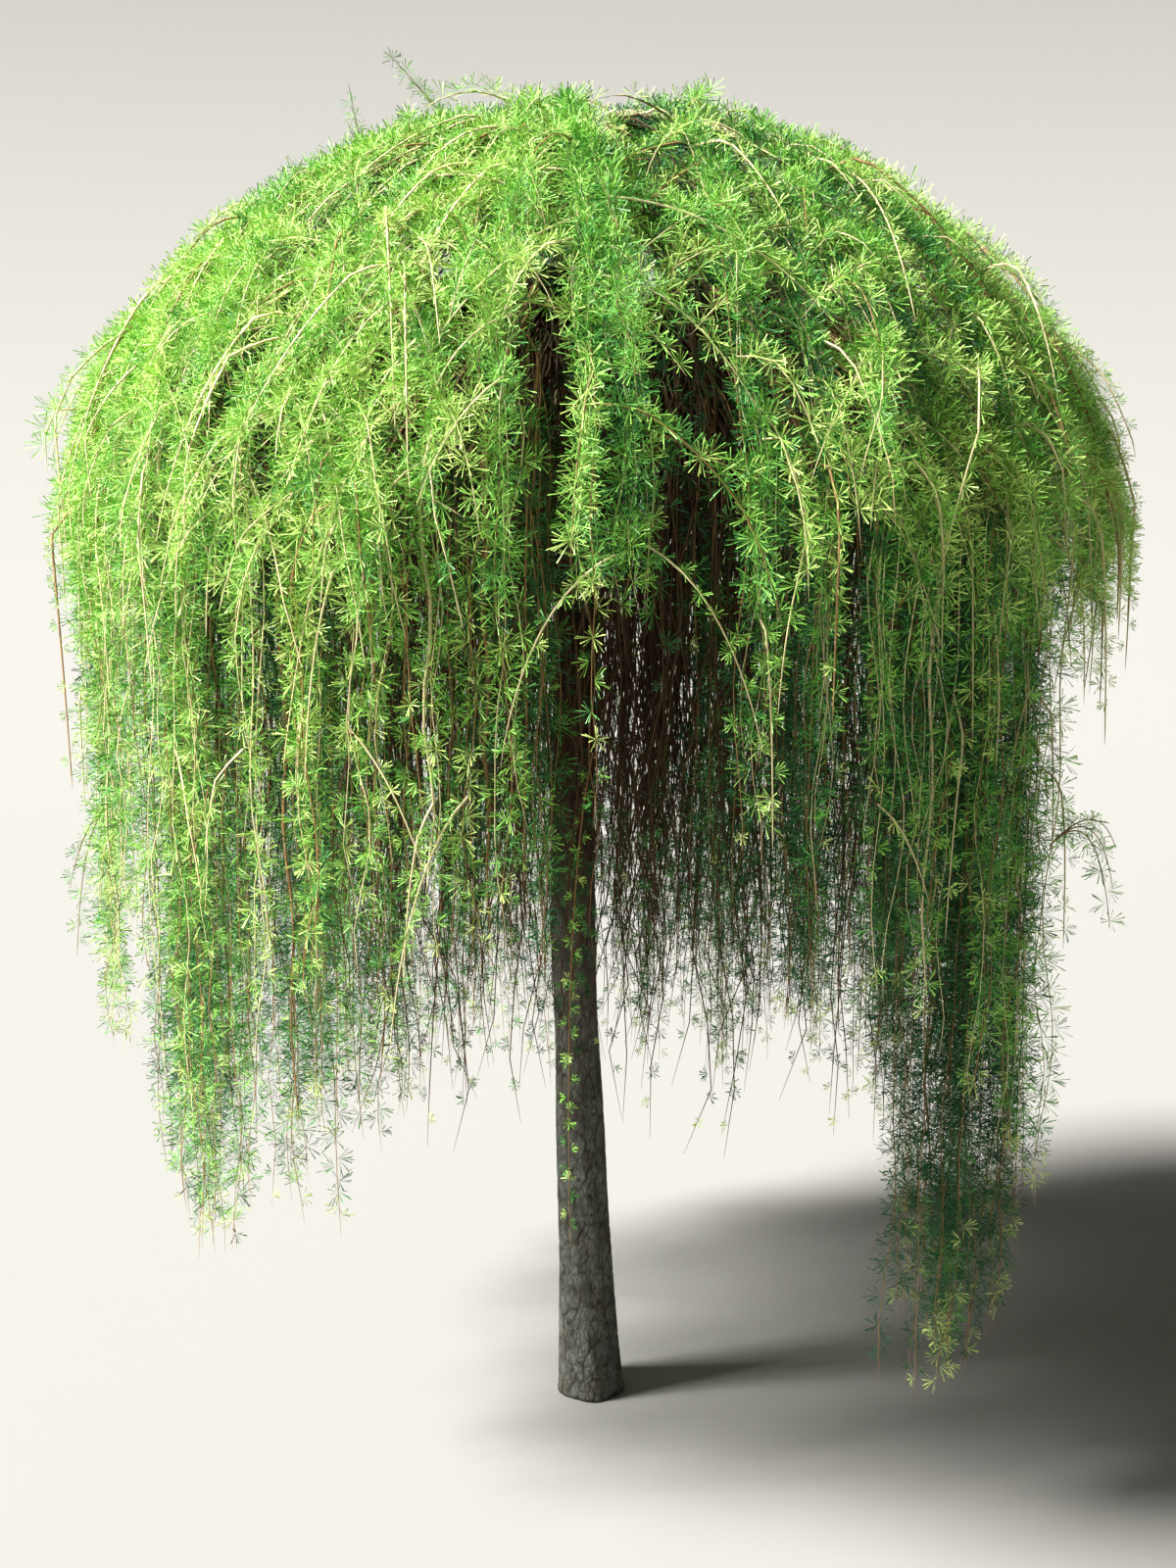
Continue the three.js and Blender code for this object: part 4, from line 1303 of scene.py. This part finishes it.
class LARCH_OT_curtains(bpy.types.Operator):
    """Grows the curtains: shoots that hang inside and below the dome, and bare inner twigs"""

    bl_idname = "larch.curtains"
    bl_label = "Curtains"

    def execute(self, context):
        dress_masses("curtain", context.scene)
        return {"FINISHED"}


class LARCH_OT_mantles(bpy.types.Operator):
    """Grows the mantles: shoots that lie over the dome and hang on its outside, with free ends"""

    bl_idname = "larch.mantles"
    bl_label = "Mantles"

    def execute(self, context):
        dress_masses("mantle", context.scene)
        return {"FINISHED"}


class LARCH_OT_stage(bpy.types.Operator):
    """Makes the pale floor, the surround, the soft lights and the camera"""

    bl_idname = "larch.stage"
    bl_label = "Stage"

    def execute(self, context):
        studio = context.scene.larch_studio
        turn = np.linspace(0, np.pi / 2, SWEEP_STEPS)
        back = SWEEP_AWAY + SWEEP_RADIUS * np.sin(turn)
        rise = SWEEP_RADIUS * (1 - np.cos(turn))
        profile = [(-FLOOR_SIZE, 0), *zip(back, rise), (back[-1], SWEEP_HEIGHT)]
        corners = [(side * FLOOR_SIZE, y, z - GAP) for y, z in profile for side in (-1, 1)]
        first = np.arange(len(profile) - 1)[:, None] * 2
        paper, _ = new_material("pale_paper", studio.floor_colour, roughness=0.9, specular=0.2)
        floor = new_piece("floor", corners, first + np.array([0, 1, 3, 2]), [paper], smooth=True)
        world = bpy.data.worlds.new("pale_surround")
        world.use_nodes = True
        surround = world.node_tree.nodes["Background"]
        surround.inputs["Color"].default_value = (*studio.floor_colour, 1)
        surround.inputs["Strength"].default_value = studio.sky_strength
        context.scene.world = world
        add_soft_light("key_light", studio.key_strength, KEY_FROM, KEY_SOFTNESS)
        add_soft_light("fill_light", studio.fill_strength, FILL_FROM, FILL_SOFTNESS)
        context.scene.view_settings.view_transform = "Standard"
        context.scene.view_settings.look = "Medium High Contrast"
        lens = bpy.data.cameras.new("camera")
        lens.lens = studio.lens
        camera = bpy.data.objects.new("camera", lens)
        camera.location = (CAMERA_ASIDE, -studio.distance, studio.height)
        camera.rotation_euler = (math.pi / 2 - studio.pitch, 0, 0)
        context.scene.collection.objects.link(camera)
        context.scene.camera = camera
        return {"FINISHED"}


def add_soft_light(name, strength, source, softness):
    """An even light from one side, with soft-edged shadows."""
    lamp = bpy.data.lights.new(name, "SUN")
    lamp.energy = strength
    lamp.angle = softness
    light = bpy.data.objects.new(name, lamp)
    light.rotation_euler = Vector(source).to_track_quat("Z", "Y").to_euler()
    bpy.context.scene.collection.objects.link(light)


class LARCH_PT_panel(bpy.types.Panel):
    """Lists the larch's pieces and the sizes and colours they are made from"""

    bl_idname = "LARCH_PT_panel"
    bl_label = "Weeping Larch"
    bl_space_type = "VIEW_3D"
    bl_region_type = "UI"
    bl_category = "Larch"

    def draw(self, context):
        for operators, values in SECTIONS:
            box = self.layout.box()
            for operator in operators:
                box.operator(operator.bl_idname)
            group = getattr(context.scene, values)
            for name in group.bl_rna.properties.keys():
                if name not in {"rna_type", "name"}:
                    box.prop(group, name)


GROUPS = {
    "larch_wood": LarchWood,
    "larch_twigs": LarchTwigs,
    "larch_needles": LarchNeedles,
    "larch_studio": LarchStudio,
}
OPERATORS = (LARCH_OT_stage, LARCH_OT_trunk, LARCH_OT_boughs, LARCH_OT_curtains, LARCH_OT_mantles)
SECTIONS = (
    ((LARCH_OT_trunk, LARCH_OT_boughs), "larch_wood"),
    ((LARCH_OT_curtains, LARCH_OT_mantles), "larch_twigs"),
    ((), "larch_needles"),
    ((LARCH_OT_stage,), "larch_studio"),
)
CLASSES = (*GROUPS.values(), *OPERATORS, LARCH_PT_panel)


def register():
    for cls in CLASSES:
        bpy.utils.register_class(cls)
    for name, group in GROUPS.items():
        setattr(bpy.types.Scene, name, bpy.props.PointerProperty(type=group))


def unregister():
    for name in GROUPS:
        delattr(bpy.types.Scene, name)
    for cls in reversed(CLASSES):
        bpy.utils.unregister_class(cls)


def main():
    register()
    bpy.ops.larch.stage()
    bpy.ops.larch.trunk()
    bpy.ops.larch.boughs()
    bpy.ops.larch.curtains()
    bpy.ops.larch.mantles()


if __name__ == "__main__":
    main()
